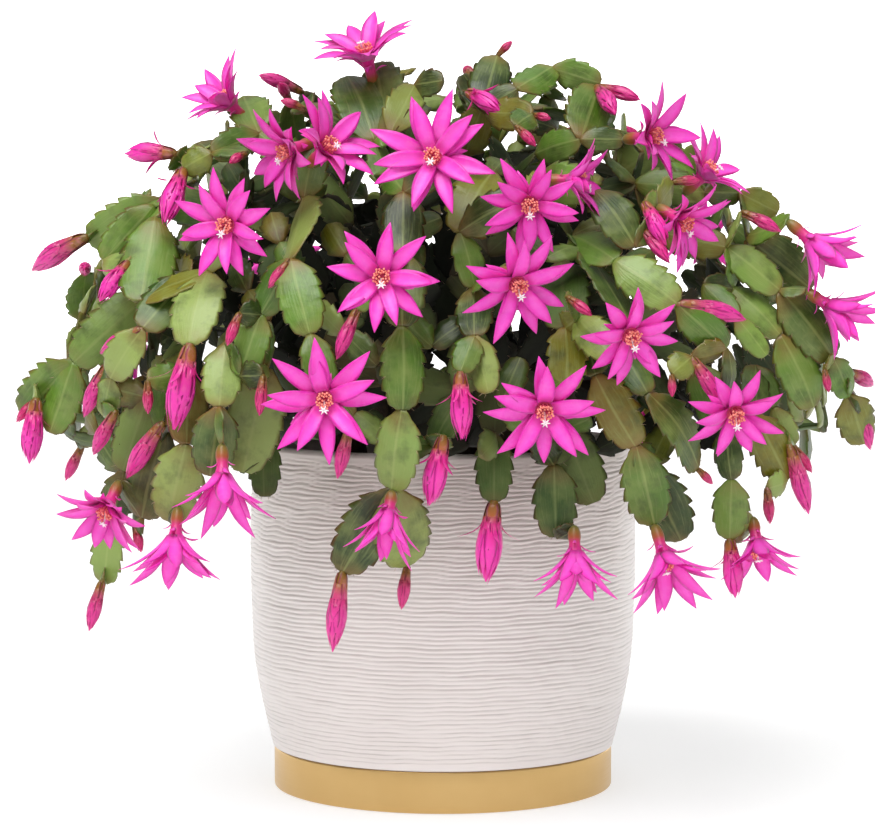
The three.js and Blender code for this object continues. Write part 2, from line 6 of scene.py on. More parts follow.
import bpy
import numpy as np
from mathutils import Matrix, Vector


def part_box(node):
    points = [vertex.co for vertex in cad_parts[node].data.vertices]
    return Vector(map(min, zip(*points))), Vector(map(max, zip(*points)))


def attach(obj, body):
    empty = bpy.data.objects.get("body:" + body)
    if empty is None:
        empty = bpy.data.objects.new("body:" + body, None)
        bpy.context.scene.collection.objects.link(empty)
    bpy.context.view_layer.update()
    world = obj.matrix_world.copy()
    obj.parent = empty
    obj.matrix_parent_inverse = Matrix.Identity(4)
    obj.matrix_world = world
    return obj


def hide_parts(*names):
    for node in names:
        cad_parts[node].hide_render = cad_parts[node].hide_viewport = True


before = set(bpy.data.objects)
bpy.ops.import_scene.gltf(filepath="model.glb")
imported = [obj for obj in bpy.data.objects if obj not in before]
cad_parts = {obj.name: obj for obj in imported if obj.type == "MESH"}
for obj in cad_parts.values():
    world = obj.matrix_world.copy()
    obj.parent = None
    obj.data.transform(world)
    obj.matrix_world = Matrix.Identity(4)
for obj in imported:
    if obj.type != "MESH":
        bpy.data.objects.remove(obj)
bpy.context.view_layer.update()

MM = 0.001  # metres in a millimetre

# ---- Driving dimensions of the plant, as in the solids ----
SOIL_TOP = 177
CROWN = {"near": 22, "spread": 0.24, "depth": 6}
DOME = {"centre": (0, 0, 205), "radii": (236, 205, 196)}
SEGMENT = {"length": 44, "slimness": 0.6, "least": 15, "most": 29, "thickness": 4}
TRUNK = {"width": 14, "thickness": 9}
BUD = {"slimness": 0.3, "extra": 2}
FLOWER = {"tube": 0.36, "stand": 0.8}
# Older shoots deep in the plant: share of the dome, points tried, lowest height
INNER_SHELLS = [(0.45, 120, 0), (0.62, 200, -0.08), (0.76, 320, -0.1), (0.88, 420, -0.06)]
HIDDEN = 20  # an inner point nearer than this to a joint is already covered
REACH = 46  # the usual gap that one new segment bridges
ROOTED = 5  # how far inside what it grows on a run or a bud starts
SNAP = 8  # a growing point nearer than this to a joint starts at the joint
COVERED = 30  # the same as HIDDEN, for the outer shoots
FOLDED = 0.36  # width over length of a flower that is still folded

# ---- Stems of the front: chains of points where segments join, in millimetres ----
# The first chain of a stem comes out of the soil; the others fork from the nearest joint of the stem.
FRONT_STEMS = [
    [[[-35, -110, 350], [-50, -75, 385]], [[-27, -112, 355], [-35, -70, 392]],
        [[-35, -108, 352], [-70, -90, 370]], [[-27, -114, 357], [-15, -90, 380], [0, -100, 382]]],
    [[[-70, -100, 335], [-95, -95, 355], [-135, -85, 340]], [[-95, -95, 355], [-105, -60, 375]],
        [[-95, -95, 355], [-118, -112, 345], [-133, -108, 337]]],
    [[[-110, -95, 315], [-145, -85, 320], [-185, -80, 300]], [[-148, -105, 312], [-152, -140, 270]],
        [[-150, -92, 318], [-175, -100, 290]], [[-118, -140, 285], [-125, -170, 250]]],
    [[[-115, -70, 280], [-150, -85, 275], [-192, -90, 237], [-222, -65, 208]],
        [[-192, -90, 237], [-205, -85, 200]],
        [[-128, -130, 283], [-150, -152, 257], [-167, -142, 232], [-172, -128, 212]]],
    [[[-140, -130, 240], [-140, -140, 205], [-153, -128, 160]],
        [[-152, -108, 220], [-165, -105, 182], [-172, -98, 153], [-177, -92, 122]],
        [[-128, -150, 235], [-128, -160, 200], [-138, -145, 160]]],
    [[[-70, -130, 322], [-75, -172, 292], [-65, -190, 256]],
        [[-75, -172, 292], [-90, -168, 265], [-100, -175, 235]], [[-88, -158, 238], [-100, -160, 186]],
        [[-90, -140, 205], [-90, -142, 172]],
        [[-108, -165, 250], [-110, -180, 220], [-116, -165, 185]]],
    [[[-28, -125, 335], [-20, -150, 325], [-20, -172, 295], [-20, -195, 260], [-20, -202, 220],
            [-25, -190, 180], [-50, -175, 138]],
        [[-25, -190, 180], [-18, -165, 140]]],
    [[[25, -130, 335], [8, -160, 305], [15, -165, 278], [15, -190, 255], [22, -198, 228]],
        [[15, -190, 255], [8, -200, 238]], [[14, -165, 262], [10, -165, 226], [-5, -170, 200]]],
    [[[22, -118, 262], [25, -145, 238], [25, -158, 205], [25, -168, 172]],
        [[55, -140, 222], [55, -160, 190], [56, -166, 154]], [[60, -150, 208], [75, -155, 170]]],
    [[[60, -120, 290], [60, -165, 258], [60, -182, 228]], [[66, -168, 263], [82, -188, 245]]],
    [[[70, -145, 262], [75, -172, 235], [95, -172, 200], [105, -160, 160]],
        [[85, -155, 250], [100, -175, 226], [126, -162, 188]], [[102, -160, 188], [120, -140, 150]]],
    [[[128, -130, 238], [142, -142, 207], [145, -145, 181], [145, -137, 150]],
        [[158, -125, 212], [176, -115, 178]], [[160, -105, 236], [170, -110, 215], [180, -105, 195]]],
    [[[110, -100, 305], [145, -108, 297], [172, -112, 275], [200, -108, 240], [210, -95, 220],
            [221, -75, 194]],
        [[148, -108, 276], [172, -114, 252], [190, -108, 215]],
        [[132, -125, 278], [147, -140, 262], [162, -142, 243]]],
    [[[48, -112, 332], [75, -140, 326], [95, -155, 298]],
        [[65, -122, 302], [85, -158, 291], [115, -172, 270], [140, -162, 248]],
        [[70, -135, 296], [90, -172, 262]]],
    [[[100, -80, 330], [135, -85, 325], [155, -75, 325], [175, -75, 315]],
        [[158, -85, 302], [192, -80, 275]]],
    [[[48, -85, 345], [70, -105, 352], [80, -75, 380]], [[70, -105, 352], [92, -105, 352]]],
    [[[12, -70, 345], [20, -95, 368], [28, -70, 396]],
        [[20, -95, 368], [38, -95, 378], [57, -70, 390], [82, -75, 382]],
        [[22, -105, 366], [45, -122, 364]]],
]

# ---- Stems of the back: the angle of each from +X, and its height class ----
BACK_STEMS = [[8, "low"], [30, "mid"], [52, "low"], [78, "high"], [100, "low"], [122, "mid"], [146, "low"]]
BACK_PATHS = {  # distance from the axis and height of the points where segments join
    "low": [[150, 262], [186, 238], [204, 200], [200, 158]],
    "mid": [[105, 318], [148, 320], [186, 292]],
    "high": [[45, 335], [66, 368], [88, 392]],
}

# ---- Open flowers: throat x, y, z, heading from -Y towards +X, rise, diameter, openness ----
FLOWERS = [
    [-40, -85, 396, -30, 62, 58, 0.8], [-112, -82, 372, -60, 40, 44, 0.5],
    [-77, -150, 346, -50, -15, 50, 0.7], [-58, -158, 347, 40, 30, 50, 0.7],
    [-5, -172, 342, -10, 12, 62, 1], [-107, -162, 309, -20, -5, 53, 0.95],
    [-30, -208, 284, 0, 5, 56, 1], [42, -182, 319, 0, -15, 51, 1], [65, -150, 331, 75, 0, 42, 0.6],
    [35, -208, 281, 20, -20, 56, 1], [-57, -218, 226, 0, -5, 59, 1], [48, -215, 221, 5, -18, 56, 1],
    [90, -200, 256, 20, -20, 50, 1], [143, -178, 217, 10, -28, 50, 1],
    [118, -155, 311, 50, -25, 46, 0.7], [135, -100, 335, 60, 40, 46, 0.7],
    [103, -115, 357, 50, 5, 50, 0.75], [188, -115, 300, 75, -40, 46, 0.4],
    [197, -122, 267, 70, -32, 42, 0.35], [-170, -140, 166, -25, -45, 50, 0.7],
    [-134, -158, 152, -10, -68, 48, 0.4], [-108, -190, 186, 5, -68, 48, 0.4],
    [-31, -202, 166, -20, -62, 36, 0.12], [65, -176, 146, 5, -68, 43, 0.35],
    [107, -164, 143, 30, -60, 50, 0.4], [159, -136, 147, 15, -62, 42, 0.45],
    [150, 130, 300, 128, 10, 52, 0.95], [60, 195, 262, 163, -5, 54, 1],
    [-95, 178, 285, 200, 5, 52, 0.95], [-40, 110, 368, 190, 45, 54, 0.9],
    [-178, 96, 240, 235, -15, 50, 0.9], [120, 165, 190, 150, -50, 48, 0.6],
    [-60, 185, 170, 195, -60, 46, 0.4],
]

# ---- Buds and folded flowers: base point, tip point, width over length ----
BUDS = [
    [[-185, -90, 302], [-217, -62, 284]], [[-155, -140, 268], [-155, -146, 258]],
    [[-152, -152, 256], [-175, -138, 243]], [[-170, -135, 238], [-183, -125, 211]],
    [[-165, -140, 215], [-178, -128, 192]], [[-147, -160, 232], [-147, -160, 215]],
    [[-140, -155, 210], [-160, -138, 181]], [[-177, -100, 124], [-184, -102, 98]],
    [[-158, -122, 156], [-154, -128, 142]], [[-100, -120, 345], [-108, -130, 340]],
    [[-70, -115, 367], [-83, -115, 372]], [[-75, -178, 288], [-86, -182, 274]],
    [[-100, -175, 266], [-106, -182, 250]], [[-42, -187, 268], [-52, -195, 244]],
    [[-88, -185, 236], [-90, -188, 216]], [[-46, -190, 210], [-52, -185, 185]],
    [[-50, -172, 138], [-55, -172, 98]], [[-20, -163, 140], [-23, -165, 118]],
    [[28, -72, 396], [36, -72, 404]], [[45, -122, 364], [54, -130, 362]],
    [[36, -140, 358], [46, -148, 348]], [[80, -78, 382], [102, -90, 375]],
    [[80, -78, 380], [88, -108, 365]], [[115, -130, 330], [130, -125, 331]],
    [[98, -150, 308], [112, -162, 290]], [[115, -170, 276], [150, -158, 268]],
    [[152, -112, 315], [172, -118, 305]], [[60, -182, 274], [72, -190, 265]],
    [[122, -172, 244], [138, -170, 219]], [[112, -178, 236], [112, -182, 225]],
    [[180, -105, 200], [190, -108, 186]], [[177, -118, 196], [188, -112, 160]],
    [[210, -95, 232], [226, -72, 224]], [[195, -115, 235], [197, -118, 223]],
    [[217, -85, 215], [225, -72, 190]], [[165, -125, 175], [167, -122, 156]],
    [[120, -158, 188], [128, -156, 180]], [[-212, -75, 218], [-224, -78, 205]],
    [[0, -188, 206], [-7, -186, 172], FOLDED], [[25, -172, 174], [21, -172, 134], FOLDED],
    [[15, -200, 240], [16, -204, 208], FOLDED], [[-128, -168, 250], [-136, -170, 208], FOLDED],
    [[-212, -88, 218], [-216, -88, 184], FOLDED], [[-160, -122, 290], [-174, -130, 270], FOLDED],
    [[-132, -108, 343], [-140, -128, 316], FOLDED], [[-138, -95, 345], [-165, -80, 345], FOLDED],
    [[100, -150, 320], [110, -160, 299], FOLDED], [[12, -118, 376], [28, -135, 366], FOLDED],
    [[148, -136, 146], [151, -136, 116], FOLDED],
]

# ---- Plain vector sums on (x, y, z) ----
def add(a, b, k=1):
    return (a[0] + b[0] * k, a[1] + b[1] * k, a[2] + b[2] * k)


def dot(a, b):
    return a[0] * b[0] + a[1] * b[1] + a[2] * b[2]


def cross(a, b):
    return (a[1] * b[2] - a[2] * b[1], a[2] * b[0] - a[0] * b[2], a[0] * b[1] - a[1] * b[0])


def size(a):
    return math.sqrt(dot(a, a))


def unit(a):
    return add((0, 0, 0), a, 1 / max(size(a), 1e-9))


def apart(a, b):
    return size(add(a, b, -1))


def mix(a, b, t):
    return add(add((0, 0, 0), a, 1 - t), b, t)


def across_of(axis):
    """Two directions square to an axis and to each other."""
    side = unit(cross(axis, (0, 0, 1) if abs(axis[2]) < 0.9 else (1, 0, 0)))
    return side, cross(axis, side)


def headed(heading, rise):
    """The direction of a heading measured from -Y towards +X, and a rise above level."""
    h = heading * math.pi / 180
    r = rise * math.pi / 180
    return (math.sin(h) * math.cos(r), -math.cos(h) * math.cos(r), math.sin(r))


def outward(point):
    """The way out of the plant at a point."""
    return unit(add(point, DOME["centre"], -1))


def stream(seed):
    """A repeatable stream of numbers from 0 to 1."""
    state = seed
    while True:
        state = (state * 16807) % 2147483647
        yield state / 2147483647


# ---- Growing the plant ----
class Plant:
    """Every segment, bud and flower of the plant, by the rules that made its solids."""

    def __init__(self):
        self.draws = stream(2027)
        self.segments = []
        self.runs = []
        self.joints = []
        self.buds = []
        self.flowers = []
        for x, y, z, heading, rise, width, openness in FLOWERS:
            axis = headed(heading, rise)
            base = add((x, y, z), axis, -FLOWER["tube"] * width)
            self.flowers.append({"axis": axis, "across": width, "open": openness, "base": base})

    def segment(self, stem, a, b, facing, roll):
        """One flat segment; its broad face looks towards `facing`, rolled about its length."""
        along = unit(add(b, a, -1))
        level = add(facing, along, -dot(facing, along))
        if size(level) < 0.05:
            level = cross(along, (1, 0.3, 0))
        level = unit(level)
        r = roll * math.pi / 180
        normal = unit(add(add((0, 0, 0), level, math.cos(r)), cross(along, level), math.sin(r)))
        length = apart(a, b)
        width = min(SEGMENT["most"], max(SEGMENT["least"], length * SEGMENT["slimness"]))
        return {"stem": stem, "a": a, "b": b, "centre": mix(a, b, 0.5),
                "along": along, "normal": normal, "side": cross(normal, along),
                "length": length, "width": width, "thickness": SEGMENT["thickness"]}

    def is_clear(self, one):
        """Whether a segment is clear of the other stems and of the space before every flower."""
        box = segment_space(one)
        for other in self.segments:
            if other["stem"] == one["stem"]:
                continue
            if apart(other["centre"], one["centre"]) > (other["length"] + one["length"]) / 2 + 16:
                continue
            if boxes_meet(box, segment_space(other)):
                return False
        return all(not boxes_meet(box, flower_space(flower)) for flower in self.flowers)

    def tried(self, stem, a, b, facing, roll, fixed):
        """The segment at the first roll that is clear, or at its own roll if it is fixed."""
        for turn in (0, 25, -25, 50, -50, 75, -75):
            one = self.segment(stem, a, b, facing, roll + turn)
            if self.is_clear(one):
                return one
        return self.segment(stem, a, b, facing, roll) if fixed else None

    def nearest(self, point, stem=-1):
        """The joint that a new point grows from, rather inside the point than outside it."""
        best = None
        least = math.inf
        for joint in self.joints:
            if stem >= 0 and joint["stem"] != stem:
                continue
            further = apart(joint["at"], DOME["centre"]) - apart(point, DOME["centre"])
            cost = apart(joint["at"], point) + 0.6 * max(0, further)
            if cost < least:
                least = cost
                best = joint
        return best

    def run(self, stem, foot, points, facing, fixed, sway):
        """A run of segments through a list of points, rooted inside what it grows on."""
        grown = []
        for start, end in zip(points, points[1:]):
            look = facing or outward(mix(start, end, 0.5))
            roll = (next(self.draws) - 0.5) * sway
            one = self.tried(stem, start, end, look, roll, fixed)
            if not one:
                return None
            grown.append(one)
        self.segments += grown
        self.runs.append({"stem": stem, "foot": foot, "segments": grown})
        for one in grown:
            inside = add(one["b"], one["along"], -ROOTED)
            self.joints.append({"stem": stem, "at": one["b"], "inside": inside})
        return grown

    def rise(self, stem, points, facing):
        """An arc out of the soil up to a stem's first point, then its first chain."""
        first = points[0]
        away = unit((first[0], first[1], 0))
        distance = size((first[0], first[1], 0))
        root = add((0, 0, SOIL_TOP - CROWN["depth"]), away, CROWN["near"] + distance * CROWN["spread"])
        heading = unit(add(points[1], first, -1))
        span = apart(root, first)
        lifted = add(root, (away[0] * 0.1, away[1] * 0.1, 0.5), span)
        before = add(first, heading, -0.3 * span)
        steps = max(2, math.floor(span * 1.1 / SEGMENT["length"] + 0.5))
        arc = [root]
        for i in range(1, steps + 1):
            t = i / steps
            low = mix(mix(root, lifted, t), mix(lifted, before, t), t)
            high = mix(mix(lifted, before, t), mix(before, first, t), t)
            arc.append(mix(low, high, t))
        hidden = self.run(stem, root, arc, None, True, 60)
        hidden[0].update(TRUNK)
        self.run(stem, self.joints[-1]["inside"], points, facing, True, 40)

    def reach(self, point, fixed, stem=-1):
        """Segments from the nearest joint to a point, with a slight arch."""
        start = self.nearest(point, stem)
        distance = apart(start["at"], point)
        if distance < SNAP:
            return start
        steps = max(1, math.floor(distance / REACH + 0.5))
        if not fixed and steps > 2:
            return None
        points = [start["at"]]
        for i in range(1, steps + 1):
            t = i / steps
            points.append(add(mix(start["at"], point, t), outward(point), 0.5 * distance * t * (1 - t)))
        grown = self.run(start["stem"], start["inside"], points, None, fixed, 80)
        return self.joints[-1] if grown else None

    def add_bud(self, joint, tip, slimness):
        self.buds.append({"stem": joint["stem"], "base": joint["at"], "inside": joint["inside"], "tip": tip,
                          "slimness": slimness})

    def grow_front(self):
        viewer = (0, -1, 0.2)
        for stem, chains in enumerate(FRONT_STEMS):
            self.rise(stem, chains[0], viewer)
            for points in chains[1:]:
                start = self.reach(points[0], True, stem)
                self.run(stem, start["inside"], [start["at"], *points[1:]], viewer, True, 40)

    def grow_back(self):
        for i, (angle, height) in enumerate(BACK_STEMS):
            a = angle * math.pi / 180
            points = [(r * math.cos(a), r * math.sin(a), z) for r, z in BACK_PATHS[height]]
            self.rise(len(FRONT_STEMS) + i, points, None)

    def grow_ends(self):
        for flower in self.flowers:
            flower["base"] = self.reach(flower["base"], True)["at"]
        for base, tip, *slimness in BUDS:
            start = self.reach(base, True)
            slim = slimness[0] if slimness else BUD["slimness"]
            self.add_bud(start, add(start["at"], add(tip, base, -1)), slim)

    def fill(self, shell, count, lowest, covered, keep):
        """Points spread evenly on one shell of the dome, each reached by a segment or two."""
        for k in range(count):
            up = lowest + (1 - lowest) * ((k + 0.5) / count)
            level = math.sqrt(max(0, 1 - max(0, up) ** 2))
            angle = k * 2.39996
            way = (math.cos(angle) * level, math.sin(angle) * level, up)
            point = tuple(c + shell * r * w for c, r, w in zip(DOME["centre"], DOME["radii"], way))
            if not keep(point) or apart(self.nearest(point)["at"], point) < covered:
                continue
            end = self.reach(point, False)
            if not end or shell < 0.9 or next(self.draws) > 0.4:
                continue
            droop = unit(add(self.segments[-1]["along"], (0, 0, -0.6)))
            self.add_bud(end, add(end["at"], droop, 14 + 16 * next(self.draws)), BUD["slimness"])

    def thicken(self):
        """The older shoots deep in the plant, which its solids leave out."""
        self.outer = len(self.segments)
        for shell, count, lowest in INNER_SHELLS:
            self.fill(shell, count, lowest, HIDDEN, lambda p: True)

    def grow(self):
        self.grow_front()
        self.grow_back()
        self.grow_ends()
        self.fill(0.55, 40, 0.1, COVERED, lambda p: True)
        self.fill(0.78, 90, 0, COVERED, lambda p: True)
        self.fill(0.95, 170, -0.2, COVERED, lambda p: p[1] > 25 or (p[2] > 340 and p[1] > -60))
        return self


def segment_space(one):
    half = (one["length"] / 2, one["width"] * 0.45, one["thickness"] / 2)
    return one["centre"], (one["along"], one["side"], one["normal"]), half


def flower_space(flower):
    axis = flower["axis"]
    side, other = across_of(axis)
    centre = add(flower["base"], axis, 0.36 * flower["across"] + 14)
    return centre, (axis, side, other), (24, 0.36 * flower["across"], 0.36 * flower["across"])


def boxes_meet(one, two):
    between = add(two[0], one[0], -1)
    lines = [*one[1], *two[1]]
    for u in one[1]:
        for v in two[1]:
            lines.append(cross(u, v))
    for line in lines:
        if size(line) < 1e-6:
            continue
        room = abs(dot(between, line))
        for i in range(3):
            room -= one[2][i] * abs(dot(one[1][i], line))
            room -= two[2][i] * abs(dot(two[1][i], line))
        if room > 0:
            return False
    return True


# ---- Meshes, gathered in millimetres ----
class Skin:
    """Points, faces and a few named values at each point, gathered into one mesh."""

    def __init__(self, *names):
        self.names = names
        self.points = []
        self.faces = []
        self.values = []
        self.count = 0

    def add_points(self, points, values):
        points = np.asarray(points, float).reshape(-1, 3)
        table = np.zeros((len(points), len(self.names)))
        for column, name in enumerate(self.names):
            table[:, column] = np.asarray(values.get(name, 0.0), float).reshape(-1)
        self.points.append(points)
        self.values.append(table)
        self.count += len(points)
        return self.count - len(points)

    def loft(self, rings, closed=(True, True), **values):
        """A closed skin over rings of points, with a fan of faces over each end that is closed."""
        rows, columns = rings.shape[:2]
        spread = {name: np.broadcast_to(value, (rows, columns)) for name, value in values.items()}
        first = self.add_points(rings, spread)
        number = first + np.arange(rows * columns).reshape(rows, columns)
        after = np.roll(number, -1, axis=1)
        quads = np.stack([number[:-1], after[:-1], after[1:], number[1:]], axis=-1)
        self.faces += quads.reshape(-1, 4).tolist()
        for shut, row, turn in ((closed[0], 0, -1), (closed[1], rows - 1, 1)):
            if not shut:
                continue
            middle = {name: value[row].mean() for name, value in spread.items()}
            hub = self.add_points(rings[row].mean(axis=0), middle)
            pairs = zip(number[row][::turn].tolist(), np.roll(number[row][::turn], -1).tolist())
            self.faces += [[a, b, hub] for a, b in pairs]

    def make(self, name, material, nodes=()):
        """The finished piece, riding on the pot and standing for the named solids."""
        mesh = bpy.data.meshes.new(name)
        mesh.from_pydata((np.concatenate(self.points) * MM).tolist(), [], self.faces)
        mesh.polygons.foreach_set("use_smooth", np.ones(len(mesh.polygons), bool))
        table = np.concatenate(self.values).astype(np.float32)
        for column, label in enumerate(self.names):
            layer = mesh.attributes.new(label, "FLOAT", "POINT")
            layer.data.foreach_set("value", table[:, column].copy())
        mesh.materials.append(material)
        mesh.validate()
        piece = bpy.data.objects.new(name, mesh)
        bpy.context.scene.collection.objects.link(piece)
        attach(piece, "root")
        if nodes:
            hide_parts(*nodes)
        return piece


def vec(a):
    return np.array(a, float)


def normed(a):
    return a / np.maximum(np.linalg.norm(a, axis=-1, keepdims=True), 1e-9)


def eased(value, low, high):
    """0 below low, 1 above high, and a smooth rise between."""
    t = np.clip((value - low) / (high - low), 0, 1)
    return t * t * (3 - 2 * t)


def curve_through(t, knots):
    """Values at t of a line drawn through (t, value) knots."""
    places, heights = zip(*knots)
    return np.interp(t, places, heights)


def lens(across, thickness):
    """Places round a flat section: how far across, and how far up or down, from edge to edge and back."""
    top = np.concatenate([across, across[-2:0:-1]])
    upper = np.concatenate([np.ones(len(across)), -np.ones(len(across) - 2)])
    return top, upper * thickness(np.abs(top))


def blade(skin, line, side, normal, half_width, section, cup, thick, **values):
    """A thin closed leaf along a line: half_width at each row or point, cupped and thickened across."""
    across, lift = section
    half = half_width.reshape(len(half_width), -1, 1)
    rings = line[:, None] + side * across[None, :, None] * half
    rings = rings + normal * (cup + lift[None, :] * thick[:, None])[..., None]
    skin.loft(rings, **values)


def tube(skin, line, radii, sides=6, ends=(True, True), **values):
    """A round tube along a line of points."""
    line = np.asarray(line, float)
    along = normed(np.gradient(line, axis=0))
    guide = vec((0.31, 0.17, 0.93)) if abs(along[0][2]) < 0.9 else vec((1, 0.2, 0.1))
    side = normed(np.cross(along, guide))
    other = np.cross(along, side)
    turn = np.arange(sides) / sides * 2 * math.pi
    wheel = side[:, None] * np.cos(turn)[None, :, None] + other[:, None] * np.sin(turn)[None, :, None]
    rings = line[:, None] + wheel * np.asarray(radii, float)[:, None, None]
    spread = {name: np.asarray(value, float).reshape(-1, 1) for name, value in values.items()}
    skin.loft(rings, ends, **spread)


# ---- Stem segments ----
OUTLINE = [(0, 0.2), (0.05, 0.36), (0.12, 0.64), (0.22, 0.87), (0.36, 1), (0.56, 1), (0.72, 0.94),
           (0.84, 0.8), (0.94, 0.6), (1, 0.32)]
TOOTH_PITCH = 8.5
TOOTH = [(0, 0), (0.3, 0.5), (0.6, 0.82), (0.82, 1.02), (0.93, 1.1)]  # one tooth, from a notch to the next
ACROSS = {"fine": [-1, -0.78, -0.42, -0.09, 0.09, 0.42, 0.78, 1], "plain": [-1, -0.5, 0, 0.5, 1]}
RIB = {"edge": 0.4, "swell": 0.8, "midrib": 0.75}  # half thickness in millimetres, edge to middle
BRISTLE = {"length": 2.2, "radius": 0.12}
YOUNG_WOOD = {"below": 230, "within": 70, "share": 0.35}  # where segments begin to turn woody
# Where the painted shade on the segments deep inside the plant begins and ends
DEPTH_SHADE = {"inside": 0.68, "outside": 0.95}  # shares of the way out of the plant


def segment_section(detail):
    return lens(np.array(ACROSS[detail]), lambda u: (1 - u ** 6) ** 0.5 * (
        RIB["edge"] + RIB["swell"] * (1 - u * u) + RIB["midrib"] * np.exp(-((u / 0.13) ** 2))))


def segment_rows(teeth, first, detail):
    """Places along a segment where its outline bends, and how full the margin's tooth is at each."""
    places = [0, first * 0.5]
    fullness = [1, 1]
    step = (0.97 - first) / teeth
    parts = TOOTH if detail == "fine" else TOOTH[::2]
    for tooth in range(teeth):
        for part, full in parts:
            places.append(first + (tooth + part) * step)
            fullness.append(full)
    return np.array([*places, 0.975, 1]), np.array([*fullness, 0.2, 0.5])


def add_bristles(skin, point, outward_way, normal, tone, rng):
    """A few short stiff hairs at a notch of the margin."""
    for _ in range(rng.integers(1, 3)):
        way = normed(outward_way + normal * rng.uniform(-0.5, 0.5) + rng.normal(0, 0.3, 3))
        tip = point + way * BRISTLE["length"] * rng.uniform(0.4, 1.2)
        radii = [BRISTLE["radius"], BRISTLE["radius"] * 0.3]
        tube(skin, [point - way * 0.4, tip], radii, 3, ends=(False, False),
             tone=[tone, tone], bristle=[1, 1], across=[1, 1])


def age_of(point):
    """How deep in the plant a segment is, which sets the painted shade that darkens it: 0 at the outline, 1
    well inside.
    """
    away = [(p - c) / r for p, c, r in zip(point, DOME["centre"], DOME["radii"])]
    return 1 - float(eased(size(away), DEPTH_SHADE["inside"], DEPTH_SHADE["outside"]))


def add_segment(skin, one, woody, detail, rng):
    """One flat segment, toothed along its margins, gently arched, with its bristles."""
    a, b = vec(one["a"]), vec(one["b"])
    along, side, normal = vec(one["along"]), vec(one["side"]), vec(one["normal"])
    length = one["length"]
    teeth = max(3, round(length / TOOTH_PITCH)) if detail == "fine" else 3
    rows, full = segment_rows(teeth, rng.uniform(0.08, 0.14), detail)
    tooth_depth = rng.uniform(0.11, 0.19) * (1 - woody)
    broad = one["width"] * 0.5 * curve_through(rows, OUTLINE) * rng.uniform(0.93, 1.1)
    broad = np.maximum(broad, 1.6 + 2.2 * woody)
    half = broad * (1 - tooth_depth * (1 - full))
    section = segment_section(detail)
    margin = np.abs(section[0]) == 1
    spread = np.where(margin, half[:, None], broad[:, None])
    u = section[0] * spread / broad[:, None]
    t = rows[:, None]
    arch = np.sin(math.pi * rows) * rng.uniform(-0.03, 0.08) * length
    line = a + (b - a) * t + normal * arch[:, None]
    flat_ends = np.sin(math.pi * np.minimum(t * 1.1, 1))
    curl = rng.uniform(-0.26, 0.16) * broad[:, None] * u * u
    fold = rng.uniform(-0.1, 0.2) * broad[:, None] * np.abs(u)
    ripple = rng.uniform(0.15, 0.4) * np.sin(t * teeth * 3.1416 + u * 2) * u * u
    dents = 0.35 * np.sin(rng.uniform(5, 12) * t + rng.uniform(0, 6)) * np.sin(3 * u + rng.uniform(0, 6))
    cup = (curl + fold + ripple + dents) * flat_ends
    thick = 0.75 + 0.25 * np.sin(math.pi * rows) + woody * 2.2
    tone = rng.uniform(0, 1)
    blade(skin, line, side, normal, spread, section, cup, thick, along=t, across=section[0][None, :],
          tone=tone, woody=woody, age=age_of(one["centre"]))
    if woody > 0.5 or detail == "plain":
        return
    notches = [row for row in range(3, len(rows) - 2) if full[row] == 0]
    for row in [*notches, len(rows) - 2]:
        for edge in (-1, 1):
            point = line[row] + side * half[row] * edge * 0.96
            add_bristles(skin, point, side * edge + along * 0.8, normal, tone, rng)
    for edge in (-0.6, 0.6):
        add_bristles(skin, line[-1] + side * half[-1] * edge, along + side * edge, normal, tone, rng)


def foliage_pieces(plant, material):
    """One piece for each stem: all its segments, woody at its foot."""
    inner = {id(one) for one in plant.segments[plant.outer:]}
    for stem in range(len(FRONT_STEMS) + len(BACK_STEMS)):
        rng = np.random.default_rng(100 + stem)
        skin = Skin("along", "across", "tone", "woody", "age", "bristle")
        for one in (one for one in plant.segments if one["stem"] == stem):
            x, y, z = one["centre"]
            near_foot = z < YOUNG_WOOD["below"] and math.hypot(x, y) < YOUNG_WOOD["within"]
            young_wood = YOUNG_WOOD["share"] if near_foot else 0.0
            woody = 1.0 if one["thickness"] == TRUNK["thickness"] else young_wood
            add_segment(skin, one, woody, "plain" if id(one) in inner else "fine", rng)
        skin.make(f"stem_{stem + 1:02d}_segments", material, [f"stem_{stem + 1:02d}"])


# ---- Petals, flowers and buds ----
PETAL = [(0, 0.8), (0.14, 0.88), (0.3, 0.97), (0.44, 1), (0.58, 0.92), (0.72, 0.7),
         (0.86, 0.4), (0.96, 0.14), (1, 0.03)]
PETAL_ACROSS = np.array([-1, -0.6, -0.2, 0.2, 0.6, 1])
SPIRAL = 2.4  # radians from one small part to the next round a stem, near the golden angle
TUBE = {"sides": 14, "sunk": 0.6}  # the flower's tube, and how far it starts inside the segment
WHORLS = [(8, 1.05, 2.5), (5, 0.9, 0.6)]  # petals, share of the flower's radius, depth below the mouth


def petal_section(thickness):
    return lens(PETAL_ACROSS, lambda u: thickness * (1 - u ** 4) ** 0.5)


